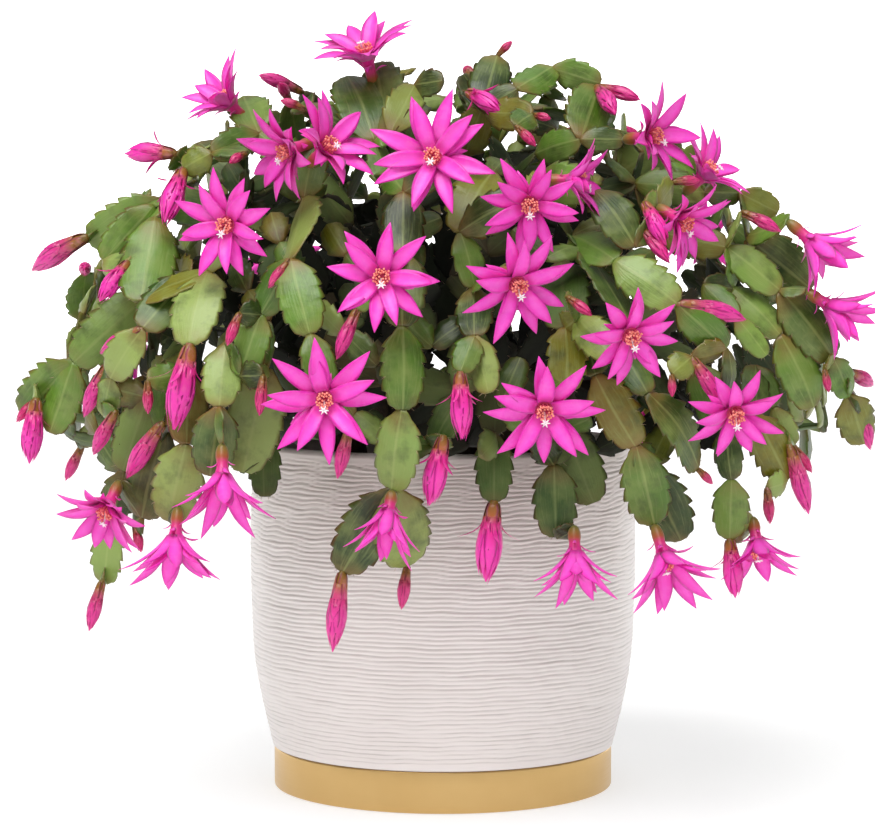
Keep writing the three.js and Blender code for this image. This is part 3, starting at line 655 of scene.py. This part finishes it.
def add_petal(skin, foot, axis, radial, lean, length, width, keel, whorl, rng, rows=11):
    """A pointed, keeled petal that leaves its foot at one lean from the axis and ends at another."""
    t = np.linspace(0, 1, rows)
    angle = np.radians(lean[0] + (lean[1] - lean[0]) * t ** 0.8)
    step = length / (rows - 1)
    middle = (angle[1:] + angle[:-1]) / 2
    out = np.concatenate([[0], np.cumsum(np.sin(middle) * step)])
    up = np.concatenate([[0], np.cumsum(np.cos(middle) * step)])
    tangent = np.cross(axis, radial)
    drift = rng.uniform(-0.08, 0.08) * length * t * t
    line = foot + out[:, None] * radial + up[:, None] * axis + drift[:, None] * tangent
    normal = -np.cos(angle)[:, None] * radial + np.sin(angle)[:, None] * axis
    roll = math.radians(rng.uniform(-14, 14)) * t[:, None]
    side = tangent * np.cos(roll) + normal * np.sin(roll)
    normal = normal * np.cos(roll) - tangent * np.sin(roll)
    half = width * 0.5 * curve_through(t, PETAL)
    section = petal_section(0.22)
    u = section[0][None, :]
    cup = keel * half[:, None] * np.abs(u) ** 1.4
    blade(skin, line, side[:, None], normal[:, None], half, section, cup, np.ones(rows) - 0.5 * t,
          along=t[:, None], across=np.abs(u), whorl=whorl, tone=rng.uniform(0, 1))


def petal_length(lean, reach):
    """How long a petal is that leans like that and whose tip is that far out from its foot."""
    t = np.linspace(0, 1, 40)
    return reach / np.sin(np.radians(lean[0] + (lean[1] - lean[0]) * t ** 0.8)).mean()


def flower_piece(index, flower, material):
    """The tube, the small outer scales and two whorls of petals of one open flower."""
    rng = np.random.default_rng(500 + index)
    axis = vec(flower["axis"])
    side, other = (vec(way) for way in across_of(flower["axis"]))
    base = vec(flower["base"]) + axis * FLOWER["stand"]
    across, openness = flower["across"], flower["open"]
    mouth = FLOWER["tube"] * across
    skin = Skin("along", "across", "whorl", "tone")
    heights = np.array([0, 0.06, 0.2, 0.36, 0.5, 0.7, 0.9, 1.0, 0.97, 0.93, 0.9, 0.88]) * mouth
    radii = np.array([1.4, 2.4, 3.0, 3.1, 2.8, 3.1, 4.2, 5.0, 4.5, 3.4, 2.6, 0.5])
    heights[0] = -TUBE["sunk"]
    turn = np.arange(TUBE["sides"]) / TUBE["sides"] * 2 * math.pi
    wheel = side * np.cos(turn)[:, None] + other * np.sin(turn)[:, None]
    ribbed = 1 + 0.09 * np.cos(turn * 5)[None, :] * (heights < 0.45 * mouth)[:, None]
    rings = base + axis * heights[:, None, None] + wheel[None] * (radii[:, None] * ribbed)[..., None]
    inside = np.where(np.arange(len(heights)) > 7, 0.5, 0.0)
    skin.loft(rings, along=(heights / mouth)[:, None], whorl=-1 - inside[:, None], across=0.5)
    start = rng.uniform(0, 2 * math.pi)
    for scale in range(5):
        angle = start + scale * SPIRAL
        radial = side * math.cos(angle) + other * math.sin(angle)
        foot = base + axis * mouth * (0.5 + 0.07 * scale) + radial * 3.1
        length = across * (0.1 + 0.045 * scale) * rng.uniform(0.8, 1.2)
        lean = (25 + 20 * rng.uniform(), 95 + 30 * rng.uniform() - 30 * (1 - openness))
        add_petal(skin, foot, axis, radial, lean, length, length * 0.34, 0.2, 0, rng, rows=6)
    for whorl, (petals, share, sink) in enumerate(WHORLS, start=1):
        for petal in range(petals):
            angle = start + (petal + 0.5 * whorl + rng.uniform(-0.09, 0.09)) * 2 * math.pi / petals
            radial = side * math.cos(angle) + other * math.sin(angle)
            sway = rng.uniform(-7, 7) - 6 * (whorl - 1)
            lean = (12 + 42 * openness + sway, 40 + 54 * openness + sway)
            length = petal_length(lean, across * 0.5 * share - 4.4) * rng.uniform(0.88, 1.06)
            foot = base + axis * (mouth - sink) + radial * 4.4
            width = across * rng.uniform(0.135, 0.16) * (1 + 0.45 * (1 - openness))
            add_petal(skin, foot, axis, radial, lean, length, width, 0.34, whorl, rng)
    skin.make(f"flower_{index + 1:02d}_petals", material, [f"flower_{index + 1:02d}"])


STAMENS = 34


def stamen_piece(index, flower, material):
    """The ring of stamens and the style with its pale star of stigma lobes."""
    rng = np.random.default_rng(900 + index)
    axis = vec(flower["axis"])
    side, other = (vec(way) for way in across_of(flower["axis"]))
    base = vec(flower["base"]) + axis * FLOWER["stand"]
    mouth = FLOWER["tube"] * flower["across"]
    droop = vec((0, 0, -1)) - axis * -axis[2]
    skin = Skin("along", "kind")
    for stamen in range(STAMENS):
        angle = stamen * SPIRAL
        radial = side * math.cos(angle) + other * math.sin(angle)
        ring = 0.9 + 3.2 * math.sqrt(stamen / STAMENS)
        top = base + axis * (mouth + rng.uniform(2.4, 4.8)) + radial * ring * rng.uniform(0.92, 1.08)
        low = base + axis * mouth * 0.9 + radial * ring * 0.6
        line = np.stack([low, low * 0.5 + top * 0.5 + radial * 0.5, top])
        tube(skin, line, [0.22, 0.2, 0.18], 4, along=[0, 0.5, 1], kind=[0, 0, 0])
        way = normed(axis + radial * rng.uniform(-0.2, 0.5))
        knob = np.stack([top - way * 0.2, top + way * 0.25, top + way * 0.8, top + way * 1.2])
        tube(skin, knob, [0.25, 0.6, 0.6, 0.2], 5, along=[0.8, 0.9, 1, 1], kind=[1, 1, 1, 1])
    tip = base + axis * (mouth + 6.5) + droop * 4.0
    low = base + axis * mouth * 0.88
    line = np.stack([low, base + axis * (mouth + 2) + droop * 0.8, tip - axis * 2 - droop * 0.6, tip])
    tube(skin, line, [0.45, 0.45, 0.42, 0.5], 6, along=[0, 0.5, 0.8, 1], kind=[0, 2, 2, 2])
    for lobe in range(6):
        angle = lobe * math.pi / 3 + rng.uniform(-0.2, 0.2)
        radial = side * math.cos(angle) + other * math.sin(angle)
        ends = [tip, tip + radial * 0.9 + axis * 0.9, tip + radial * 2.3 + axis * 1.1]
        tube(skin, ends, [0.42, 0.48, 0.2], 5, along=[1, 1, 1], kind=[2, 2, 2])
    skin.make(f"flower_{index + 1:02d}_centre", material)


RIPENING = (15, 34)  # lengths in millimetres over which a bud turns from crimson to pink
SPINDLE = [(0, 0.34), (0.08, 0.56), (0.3, 0.72), (0.45, 0.9), (0.6, 1), (0.75, 0.84), (0.9, 0.42),
           (1, 0.06)]
SCALE_ACROSS = np.array([-1, -0.5, 0, 0.5, 1])


def add_scale(skin, bud, frame_of, span, turn, spread, lift, kind, rng):
    """A scale or petal that lies on a bud and follows its round side up to a point."""
    t = np.linspace(0, 1, 7)
    place = span[0] + (span[1] - span[0]) * t
    top = np.concatenate([SCALE_ACROSS, SCALE_ACROSS[-2:0:-1]])
    upper = np.concatenate([np.ones(5), np.zeros(3)])
    width = spread * curve_through(t, [(0, 0.8), (0.35, 1), (0.7, 0.72), (0.9, 0.32), (1, 0.04)])
    angle = turn + width[:, None] * top[None, :]
    radius = bud["radius"] * curve_through(np.minimum(place, 1), SPINDLE)
    raised = radius + 0.15 + lift * t ** 3 * bud["radius"]
    out = raised[:, None] + 0.24 * upper[None, :] * (1 - 0.6 * t[:, None])
    rings = frame_of(place[:, None], out, angle)
    skin.loft(rings, along=place[:, None], across=np.abs(top)[None, :], kind=kind, tone=rng.uniform(0, 1))


def bud_frame(bud):
    """Where a place along, a radius and an angle about a bud's axis lie."""
    start, tip = vec(bud["base"]), vec(bud["tip"])
    axis = normed(tip - start)
    side, other = (vec(way) for way in across_of(tuple(axis)))
    bend = vec((0, 0, -1)) * 0.06 * np.linalg.norm(tip - start)

    def frame_of(place, radius, angle):
        place, radius, angle = np.broadcast_arrays(place, radius, angle)
        sag = (4 * place * (1 - place))[..., None] * bend
        wheel = np.cos(angle)[..., None] * side + np.sin(angle)[..., None] * other
        return start + (tip - start) * place[..., None] - sag * 0.5 + wheel * radius[..., None]

    return frame_of


def add_bud(skin, bud, rng):
    """A spindle of overlapping scales, or a folded flower with a few small scales turned back."""
    length = apart(bud["base"], bud["tip"])
    folded = 1.0 if bud["slimness"] == FOLDED else 0.0
    ripe = max(folded, 0.6 * float(eased(length, *RIPENING)))
    bud["radius"] = 0.5 * (length * bud["slimness"] * (0.8 if folded else 0.72) + BUD["extra"] * 0.6)
    frame_of = bud_frame(bud)
    t = np.linspace(-0.02, 1, 10)
    turn = np.arange(10) / 10 * 2 * math.pi
    radius = bud["radius"] * np.maximum(curve_through(np.clip(t, 0, 1), SPINDLE) - 0.05, 0.05)
    rings = frame_of(t[:, None], radius[:, None], turn[None, :])
    skin.loft(rings, along=t[:, None], kind=ripe, across=0.5, tone=0.5)
    start = rng.uniform(0, 6.28)
    layers = [(0.02, 0.42, 3, 0.85), (0.16, 0.66, 4, 0.75), (0.36, 0.99, 4, 0.8), (0.42, 1.0, 4, 0.7)]
    if folded:
        layers = [(0.02, 0.3, 3, 0.9), (0.2, 0.97, 5, 0.62), (0.26, 1.03, 5, 0.58)]
    for layer, (low, high, count, spread) in enumerate(layers):
        for scale in range(count):
            angle = start + (scale + 0.5 * layer) * 2 * math.pi / count
            lift = rng.uniform(0.0, 0.07) + (0.3 * rng.uniform() if folded and layer else 0)
            span = (low, high * rng.uniform(0.93, 1.0))
            add_scale(skin, bud, frame_of, span, angle, spread, lift, ripe, rng)
    if not folded:
        return
    for scale in range(4):
        angle = start + scale * 1.7
        add_scale(skin, bud, frame_of, (0.24, 0.5), angle, 0.22, 1.6, folded, rng)


def bud_pieces(plant, material):
    for stem in range(len(FRONT_STEMS) + len(BACK_STEMS)):
        buds = [bud for bud in plant.buds if bud["stem"] == stem]
        if not buds:
            continue
        rng = np.random.default_rng(300 + stem)
        skin = Skin("along", "across", "kind", "tone")
        for bud in buds:
            add_bud(skin, bud, rng)
        skin.make(f"stem_{stem + 1:02d}_buds", material)


# ---- Planter, base and potting mix ----
BASE = {"radius": 93.2, "height": 22, "wall": 1.2, "floor": 1.5, "bevel": 0.8, "sides": 128}
PLANTER = {"height": 190, "wall": 7, "floor": 8, "rim": 2.6, "sides": 176}
BARREL = [(94, 22.6), (99.8, 47), (103.7, 69), (105.3, 95), (106, 125), (105.5, 160), (104.5, 188)]
RIBS = {"pitch": 2.4, "depth": 0.62, "rows": 5}
GAP = 0.3


def barrel_radius(height):
    """The planter's outside radius without its ribs, smooth through the barrel's points."""
    radii, heights = (np.array(column, float) for column in zip(*BARREL))
    slopes = np.gradient(radii, heights)
    height = np.clip(height, heights[0], heights[-1])
    i = np.clip(np.searchsorted(heights, height, side="right") - 1, 0, len(heights) - 2)
    span = heights[i + 1] - heights[i]
    t = (height - heights[i]) / span
    start = radii[i] * (1 + 2 * t) * (1 - t) ** 2 + slopes[i] * span * t * (1 - t) ** 2
    end = radii[i + 1] * t * t * (3 - 2 * t) + slopes[i + 1] * span * t * t * (t - 1)
    return start + end


def waves(angle, height):
    """How far the ribs wander up and down, more towards the rim."""
    high = eased(height, 90, 185)
    slow = 0.9 * np.sin(2 * angle + height * 0.021) + 0.55 * np.sin(5 * angle - height * 0.05 + 1)
    quick = 0.5 * np.sin(17 * angle + height * 0.11) + 0.4 * np.sin(29 * angle - height * 0.23)
    return slow * (0.5 + 0.8 * high) + quick * (0.35 + 1.1 * high)


def turned_rings(radii, heights, sides):
    angle = np.arange(sides) / sides * 2 * math.pi
    radii, heights = np.asarray(radii, float), np.asarray(heights, float)
    radii = np.broadcast_to(radii if radii.ndim == 2 else radii[:, None], (len(heights), sides))
    z = np.broadcast_to(heights if heights.ndim == 2 else heights[:, None], (len(heights), sides))
    return np.stack([radii * np.cos(angle), radii * np.sin(angle), z], axis=-1)


def planter_piece(material):
    """The barrel with its wandering ribs, rounded rim, inner wall and floor."""
    sides = PLANTER["sides"]
    foot = BASE["radius"] - BASE["wall"] - GAP
    bottom = BASE["floor"] + GAP
    seat = BASE["height"] + GAP
    step = RIBS["pitch"] / RIBS["rows"]
    heights = np.arange(seat + 0.4, PLANTER["height"] - PLANTER["rim"], step)
    angle = np.arange(sides)[None, :] / sides * 2 * math.pi
    phase = (heights[:, None] + waves(angle, heights[:, None])) / RIBS["pitch"]
    crest = 1 - np.abs(2 * (phase % 1) - 1) ** 1.6
    rib = np.floor(phase)
    uneven = 0.7 + 0.3 * np.sin(3 * angle + rib * 2.7) * np.sin(7 * angle - rib * 1.3)
    fade = eased(heights, 22, 27) * (1 - eased(heights, 183, 187))
    ribbed = barrel_radius(heights)[:, None] + RIBS["depth"] * (crest * uneven - 0.6) * fade[:, None]
    rim = np.radians(np.arange(0, 181, 22.5))
    top = barrel_radius(PLANTER["height"] - PLANTER["rim"])
    across = PLANTER["wall"] / 2
    rim_radii = top - across + across * np.cos(rim)
    rim_heights = PLANTER["height"] - PLANTER["rim"] + PLANTER["rim"] * np.sin(rim)
    inner = np.arange(PLANTER["height"] - 10, bottom + PLANTER["floor"] + 14, -12.0)
    inner_radii = barrel_radius(inner) - PLANTER["wall"]
    skin = Skin("groove", "height")
    head = turned_rings([foot - 1.5, foot, foot, ribbed[0].mean() - 1.2],
                        [bottom, bottom + 1.5, seat, seat], sides)
    body = turned_rings(ribbed, heights, sides)
    tail = turned_rings([*rim_radii, *inner_radii, foot - PLANTER["wall"], 8],
                        [*rim_heights, *inner, bottom + PLANTER["floor"], bottom + PLANTER["floor"]], sides)
    rings = np.concatenate([head, body, tail])
    groove = np.zeros(rings.shape[:2])
    groove[len(head):len(head) + len(body)] = (1 - crest) * fade[:, None]
    skin.loft(rings, groove=groove, height=rings[..., 2] / PLANTER["height"])
    skin.make("planter_ribbed_shell", material, ["planter"])


def base_piece(material):
    """The shallow brass dish, with its edges eased."""
    radius, height, wall, bevel = (BASE[key] for key in ("radius", "height", "wall", "bevel"))
    ease = bevel * (1 - math.cos(math.pi / 4))
    outline = [(8, 0), (radius - bevel, 0), (radius - ease, ease), (radius, bevel), (radius, 6),
               (radius, 12), (radius, height - bevel), (radius - ease / 2, height - ease),
               (radius - bevel / 2, height),
               (radius - wall, height), (radius - wall, BASE["floor"]), (8, BASE["floor"])]
    skin = Skin()
    radii, heights = zip(*outline)
    skin.loft(turned_rings(radii, heights, BASE["sides"]))
    skin.make("base_brass_dish", material, ["base_dish"])


def soil_height(x, y):
    """The surface of the potting mix: a low mound, lumpy."""
    out = np.sqrt(x * x + y * y)
    lumps = 0.9 * np.sin(x * 0.31 + 1.3) * np.sin(y * 0.27) + 0.6 * np.sin(x * 0.83) * np.sin(y * 0.71 + 2)
    return SOIL_TOP - 5 * (out / 97) ** 2 + lumps


CRUMBS = 300


def soil_piece(material):
    """The bed of potting mix with loose crumbs and slivers of bark on it."""
    rng = np.random.default_rng(7)
    skin = Skin("tone", "bark")
    sides = 96
    rings_out = np.linspace(1, 97.6, 34)
    angle = np.arange(sides) / sides * 2 * math.pi
    x, y = rings_out[:, None] * np.cos(angle), rings_out[:, None] * np.sin(angle)
    top = np.stack([x, y, soil_height(x, y)], axis=-1)
    bottom = turned_rings([84, 97.6], [11, 90], sides)
    skin.loft(np.concatenate([bottom, top[::-1]]), tone=0.3)
    for crumb in range(CRUMBS):
        out, turn = 94 * math.sqrt(rng.uniform()), rng.uniform(0, 6.283)
        x, y = out * math.cos(turn), out * math.sin(turn)
        reach = rng.uniform(0.8, 2.6)
        bark = rng.uniform() < 0.3
        way = normed(vec((rng.normal(), rng.normal(), rng.normal() * 0.4)))
        long = reach * (2.6 if bark else 1.2)
        start = vec((x, y, soil_height(x, y) + 0.3 * reach)) - way * long / 2
        line = np.stack([start, start + way * long * 0.35, start + way * long * 0.75, start + way * long])
        radii = reach * rng.uniform(0.25, 0.7, 4) * (0.6 if bark else 1)
        tube(skin, line, radii, 5, tone=np.full(4, rng.uniform()), bark=np.full(4, float(bark)))
    skin.make("potting_mix_bed", material, ["potting_mix"])


# ---- Materials ----
def colour(code):
    """A colour in Blender's linear values from a web code such as 6b7a34."""
    parts = [int(code[i:i + 2], 16) / 255 for i in (0, 2, 4)]
    return (*[p / 12.92 if p <= 0.04045 else ((p + 0.055) / 1.055) ** 2.4 for p in parts], 1)


class Finish:
    """A material built of nodes: each method adds one node and returns its output."""

    def __init__(self, name):
        self.material = bpy.data.materials.new(name)
        self.material.use_nodes = True
        self.tree = self.material.node_tree
        self.shader = self.tree.nodes["Principled BSDF"]

    def add(self, kind, inputs, output=0, **settings):
        node = self.tree.nodes.new(kind)
        for key, value in settings.items():
            setattr(node, key, value)
        for key, value in inputs.items():
            self.plug(node.inputs[key], value)
        return node.outputs[output]

    def plug(self, socket, value):
        if isinstance(value, bpy.types.NodeSocket):
            self.tree.links.new(value, socket)
        else:
            socket.default_value = value

    def value(self, name):
        return self.add("ShaderNodeAttribute", {}, "Fac", attribute_name=name)

    def place(self, stretch=(1, 1, 1)):
        spot = self.add("ShaderNodeTexCoord", {}, "Object")
        return self.add("ShaderNodeMapping", {"Vector": spot, "Scale": stretch})

    def noise(self, scale, detail=4, roughness=0.6, stretch=(1, 1, 1)):
        return self.add("ShaderNodeTexNoise", {"Vector": self.place(stretch), "Scale": scale,
                                               "Detail": detail, "Roughness": roughness})

    def sums(self, operation, a, b=0.0, c=0.0):
        return self.add("ShaderNodeMath", {0: a, 1: b, 2: c}, operation=operation)

    def range(self, value, low, high, out_low=0.0, out_high=1.0):
        return self.add("ShaderNodeMapRange", {"Value": value, "From Min": low, "From Max": high,
                                               "To Min": out_low, "To Max": out_high})

    def ramp(self, value, stops):
        node = self.tree.nodes.new("ShaderNodeValToRGB")
        points = node.color_ramp.elements
        while len(points) < len(stops):
            points.new(0.5)
        for point, (position, code) in zip(points, stops):
            point.position = position
            point.color = colour(code)
        self.plug(node.inputs[0], value)
        return node.outputs[0]

    def mix(self, factor, a, b, blend="MIX"):
        node = self.tree.nodes.new("ShaderNodeMix")
        node.data_type = "RGBA"
        node.blend_type = blend
        for socket, value in ((0, factor), (6, a), (7, b)):
            self.plug(node.inputs[socket], value)
        return node.outputs[2]

    def bump(self, height, strength, distance):
        sizes = {"Height": height, "Strength": strength, "Distance": distance * MM}
        return self.add("ShaderNodeBump", sizes)

    def finish(self, **inputs):
        for key, value in inputs.items():
            self.plug(self.shader.inputs[key.replace("_", " ")], value)
        return self.material


def stem_material():
    f = Finish("stem_skin")
    tone, along, signed = f.value("tone"), f.value("along"), f.value("across")
    across = f.sums("ABSOLUTE", signed)
    green = f.ramp(tone, [(0, "1f2c04"), (0.2, "2f4c10"), (0.42, "4a6e18"), (0.62, "658a2e"),
                          (0.76, "93a858"), (0.88, "74760c"), (1, "6e4a18")])
    blotch = f.noise(48, 5)
    green = f.mix(f.range(blotch, 0.42, 0.7, 0, 0.55), green, colour("8a9a50"))
    green = f.mix(f.range(f.noise(70, 4), 0.5, 0.7, 0, 0.6), green, colour("2c3c08"))
    stretched = {"X": f.sums("MULTIPLY", signed, 9), "Y": f.sums("MULTIPLY", along, 2.2),
                 "Z": f.sums("MULTIPLY", tone, 40)}
    spot = f.add("ShaderNodeCombineXYZ", stretched)
    streak = f.add("ShaderNodeTexNoise", {"Vector": spot, "Scale": 1.6, "Detail": 4})
    green = f.mix(f.range(streak, 0.52, 0.8, 0, 0.35), green, colour("98a862"))
    ends = f.sums("ADD", f.range(along, 0.0, 0.34, 0.9, 0), f.range(along, 0.8, 1.0, 0, 0.6))
    green = f.mix(f.sums("MULTIPLY", ends, f.range(blotch, 0.35, 0.6)), green, colour("805a2c"))
    edge = f.range(f.sums("ADD", across, f.sums("MULTIPLY", f.noise(110, 4), 0.5)), 1.12, 1.34)
    green = f.mix(f.sums("MULTIPLY", edge, 0.75), green, colour("6e3018"))
    green = f.mix(f.range(across, 0.02, 0.09, 0.3, 0), green, colour("a4b268"))
    # Painted shade: segments deep inside the plant are darkened nearly to black, where the foliage round
    # them shades them.
    green = f.mix(f.sums("MULTIPLY", f.value("age"), 0.96), green, colour("0a0b04"))
    bark = f.ramp(f.noise(180, 5), [(0.3, "20170f"), (0.7, "4a3a28")])
    skin = f.mix(f.value("woody"), green, bark)
    hair = f.ramp(tone, [(0, "6d4a2f"), (1, "c9b08a")])
    skin = f.mix(f.value("bristle"), skin, hair)
    grain = f.sums("ADD", f.noise(380, 4), f.sums("MULTIPLY", streak, 1.2))
    rough = f.sums("ADD", f.range(blotch, 0.3, 0.7, 0.32, 0.44), f.sums("MULTIPLY", f.value("age"), 0.5))
    return f.finish(Base_Color=skin, Roughness=rough, Normal=f.bump(grain, 0.4, 0.35))


def petal_material():
    f = Finish("petal_skin")
    along, across, whorl = f.value("along"), f.value("across"), f.value("whorl")
    # Painted highlight: each petal is lighter pink down its middle, along the keel, and deeper pink towards
    # its edges.
    pink = f.mix(f.range(across, 0.1, 0.95), colour("fc52d2"), colour("f216b2"))
    vein = f.noise(260, 3)
    pink = f.mix(f.range(vein, 0.45, 0.75, 0, 0.28), pink, colour("ff86da"))
    pink = f.mix(f.range(along, 0.0, 0.24, 0.8, 0), pink, colour("cc1288"))
    pink = f.mix(f.range(along, 0.7, 1.0, 0, 0.6), pink, colour("ee18ac"))
    tube_side = f.ramp(along, [(0, "6e6a26"), (0.2, "8c6428"), (0.38, "a4502c"), (0.52, "cc2e74"),
                               (1, "e81ca2")])
    on_tube = f.range(whorl, -0.4, -0.6)
    pink = f.mix(on_tube, pink, tube_side)
    throat = f.range(whorl, -1.3, -1.45)
    pink = f.mix(throat, pink, colour("f25a94"))
    return f.finish(Base_Color=pink, Roughness=0.42, Normal=f.bump(vein, 0.2, 0.3),
                    Subsurface_Weight=0.15, Subsurface_Radius=(1.2 * MM, 0.4 * MM, 0.8 * MM),
                    Subsurface_Scale=1.0, Sheen_Weight=0.15)


def stamen_material():
    f = Finish("stamen_skin")
    kind, along = f.value("kind"), f.value("along")
    thread = f.ramp(along, [(0, "f85c9c"), (1, "ff9a90")])
    knob = f.mix(f.noise(900), colour("ff7c70"), colour("ffb4a0"))
    tint = f.mix(f.range(kind, 0.4, 0.6), thread, knob)
    tint = f.mix(f.range(kind, 1.4, 1.6), tint, colour("fff0f4"))
    return f.finish(Base_Color=tint, Roughness=0.5, Subsurface_Weight=0.1,
                    Subsurface_Radius=(0.5 * MM, 0.3 * MM, 0.3 * MM), Subsurface_Scale=1.0)


def bud_material():
    f = Finish("bud_skin")
    along, across, kind = f.value("along"), f.value("across"), f.value("kind")
    young = f.ramp(along, [(0, "6c5a1e"), (0.26, "8a5c26"), (0.42, "a8383e"), (0.56, "cc2c68"),
                           (1, "e03080")])
    open_pink = f.ramp(along, [(0, "7a5a20"), (0.18, "a8622c"), (0.3, "e02a88"), (0.6, "f636b0"),
                               (1, "f02ca8")])
    tint = f.mix(kind, young, open_pink)
    rim = f.mix(kind, colour("7c1f3a"), colour("d0209a"))
    tint = f.mix(f.range(across, 0.55, 1.0, 0, 0.45), tint, rim)
    tint = f.mix(f.range(f.noise(240, 3), 0.5, 0.8, 0, 0.4), tint, colour("e87a9c"))
    return f.finish(Base_Color=tint, Roughness=0.38, Normal=f.bump(f.noise(350, 4), 0.25, 0.3),
                    Subsurface_Weight=0.1, Subsurface_Radius=(0.8 * MM, 0.3 * MM, 0.4 * MM),
                    Subsurface_Scale=1.0)


def ceramic_material():
    f = Finish("pearl_ceramic")
    groove = f.value("groove")
    cloud = f.noise(9, 4)
    glaze = f.mix(cloud, colour("e4dcd8"), colour("f2eae7"))
    scratch = f.noise(240, 4, stretch=(0.12, 0.12, 2.2))
    # Painted shade in the rib grooves, streaked, and stronger towards the rim, where the foliage shades the
    # planter.
    dark = f.sums("MULTIPLY", f.range(groove, 0.35, 0.95), f.range(scratch, 0.3, 0.6))
    shade = f.sums("MULTIPLY", dark, f.range(f.value("height"), 0.5, 0.95, 0.4, 0.85))
    glaze = f.mix(shade, glaze, colour("6f6058"))
    # Painted shadow: the glaze turns brownish towards the rim, where the foliage above shades the planter.
    glaze = f.mix(f.range(f.value("height"), 0.6, 1.0, 0, 0.35), glaze, colour("b09c8c"))
    return f.finish(Base_Color=glaze, Roughness=f.range(scratch, 0.3, 0.7, 0.3, 0.5), Metallic=0.15,
                    Normal=f.bump(scratch, 0.35, 0.4), Coat_Weight=0.25, Coat_Roughness=0.3)


def brass_material():
    f = Finish("satin_brass")
    brushed = f.noise(700, 4, stretch=(0.04, 0.04, 4))
    tint = f.mix(f.noise(25, 3), colour("c9a468"), colour("d8b67c"))
    return f.finish(Base_Color=tint, Metallic=1.0, Roughness=f.range(brushed, 0.3, 0.7, 0.3, 0.4),
                    Normal=f.bump(brushed, 0.08, 0.2))


def soil_material():
    f = Finish("dark_potting_mix")
    tone = f.value("tone")
    peat = f.ramp(f.sums("ADD", f.sums("MULTIPLY", f.noise(130, 6), 0.8), f.sums("MULTIPLY", tone, 0.3)),
                  [(0.3, "120c08"), (0.6, "2e2016"), (0.9, "4a3626")])
    peat = f.mix(f.value("bark"), peat, f.mix(tone, colour("3d2818"), colour("6f4f33")))
    return f.finish(Base_Color=peat, Roughness=0.9, Normal=f.bump(f.noise(600, 5), 0.8, 0.8))


# ---- Stage, lights and camera ----
VIEW = {"from": (-0.003, -1.670, 0.320), "at": (-0.003, 0, 0.2006), "lens": 125.2}
STAGE = {"radius": 6, "height": 1.3, "sides": 48, "bright": 0.14}
LAMPS = [("key", (-28, 62), 50, 3.4), ("fill", (45, 50), 60, 0.3), ("back", (165, 55), 60, 0.45)]


def aimed(thing, place, target):
    thing.location = place
    way = vec(target) - vec(place)
    pitch = math.atan2(math.hypot(way[0], way[1]), -way[2])
    thing.rotation_euler = (pitch, 0, math.atan2(-way[0], way[1]))
    bpy.context.scene.collection.objects.link(thing)
    return thing


def set_camera():
    camera = bpy.data.cameras.new("front_view")
    camera.lens = VIEW["lens"]
    camera.sensor_width = 36
    bpy.context.scene.camera = aimed(bpy.data.objects.new("front_view", camera), VIEW["from"], VIEW["at"])


def set_lamps():
    """Broad soft light from above the front left, with weaker light from the right and from behind."""
    for name, (heading, rise), breadth, power in LAMPS:
        lamp = bpy.data.lights.new(name, "SUN")
        lamp.angle = math.radians(breadth)
        lamp.energy = power
        aimed(bpy.data.objects.new(name, lamp), vec(headed(heading, rise)) * 3, (0, 0, 0))


def stage_piece(name, points, faces, material):
    mesh = bpy.data.meshes.new(name)
    mesh.from_pydata(points, [], faces)
    mesh.materials.append(material)
    piece = bpy.data.objects.new(name, mesh)
    bpy.context.scene.collection.objects.link(piece)


def set_stage():
    """A round white floor, a glowing white wall far round it, and a dim white sky."""
    bpy.context.scene.view_settings.view_transform = "Standard"
    world = bpy.data.worlds.new("studio")
    world.use_nodes = True
    world.node_tree.nodes["Background"].inputs["Color"].default_value = (1, 1, 1, 1)
    world.node_tree.nodes["Background"].inputs["Strength"].default_value = 0.06
    bpy.context.scene.world = world
    white = Finish("white_floor").finish(Base_Color=(0.45, 0.45, 0.45, 1), Roughness=0.8,
                                         Emission_Color=(1, 1, 1, 1), Emission_Strength=0.64)
    glow = Finish("bright_wall").finish(Base_Color=(0.9, 0.9, 0.9, 1), Emission_Color=(1, 1, 1, 1),
                                        Emission_Strength=0.95)
    dim = Finish("dim_wall").finish(Base_Color=(0.5, 0.5, 0.5, 1), Emission_Color=(1, 1, 1, 1),
                                    Emission_Strength=0.42)
    sides, radius = STAGE["sides"], STAGE["radius"]
    turns = [2 * math.pi * side / sides for side in range(sides)]
    low = [(radius * math.cos(a), radius * math.sin(a), -0.0005) for a in turns]
    high = [(x, y, STAGE["height"]) for x, y, z in low]
    stage_piece("floor", low, [list(range(sides))], white)
    walls = [(i, (i + 1) % sides, (i + 1) % sides + sides, i + sides) for i in range(sides)]
    behind = [abs((i + 0.5) / sides - 0.25) < STAGE["bright"] for i in range(sides)]
    stage_piece("wall_behind", low + high, [wall for wall, lit in zip(walls, behind) if lit], glow)
    stage_piece("wall_round", low + high, [wall for wall, lit in zip(walls, behind) if not lit], dim)


# ---- Assembly ----
def check_growth(plant):
    """Stops if the plant grown here isn't the plant of the solids."""
    slack = 2 * MM
    most = 0.97
    inside = total = 0
    for one in plant.segments:
        low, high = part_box(f"stem_{one['stem'] + 1:02d}")
        for point in (one["a"], one["b"]):
            total += 1
            inside += all(low[i] - slack < point[i] * MM < high[i] + slack for i in range(3))
    if inside < most * total:
        raise SystemExit(f"only {inside} of {total} joints lie inside the stems' solids")


def build():
    plant = Plant().grow()
    check_growth(plant)
    plant.thicken()
    foliage_pieces(plant, stem_material())
    bud_pieces(plant, bud_material())
    petals, stamens = petal_material(), stamen_material()
    for index, flower in enumerate(plant.flowers):
        flower_piece(index, flower, petals)
        stamen_piece(index, flower, stamens)
    planter_piece(ceramic_material())
    base_piece(brass_material())
    soil_piece(soil_material())


build()
set_stage()
set_lamps()
set_camera()
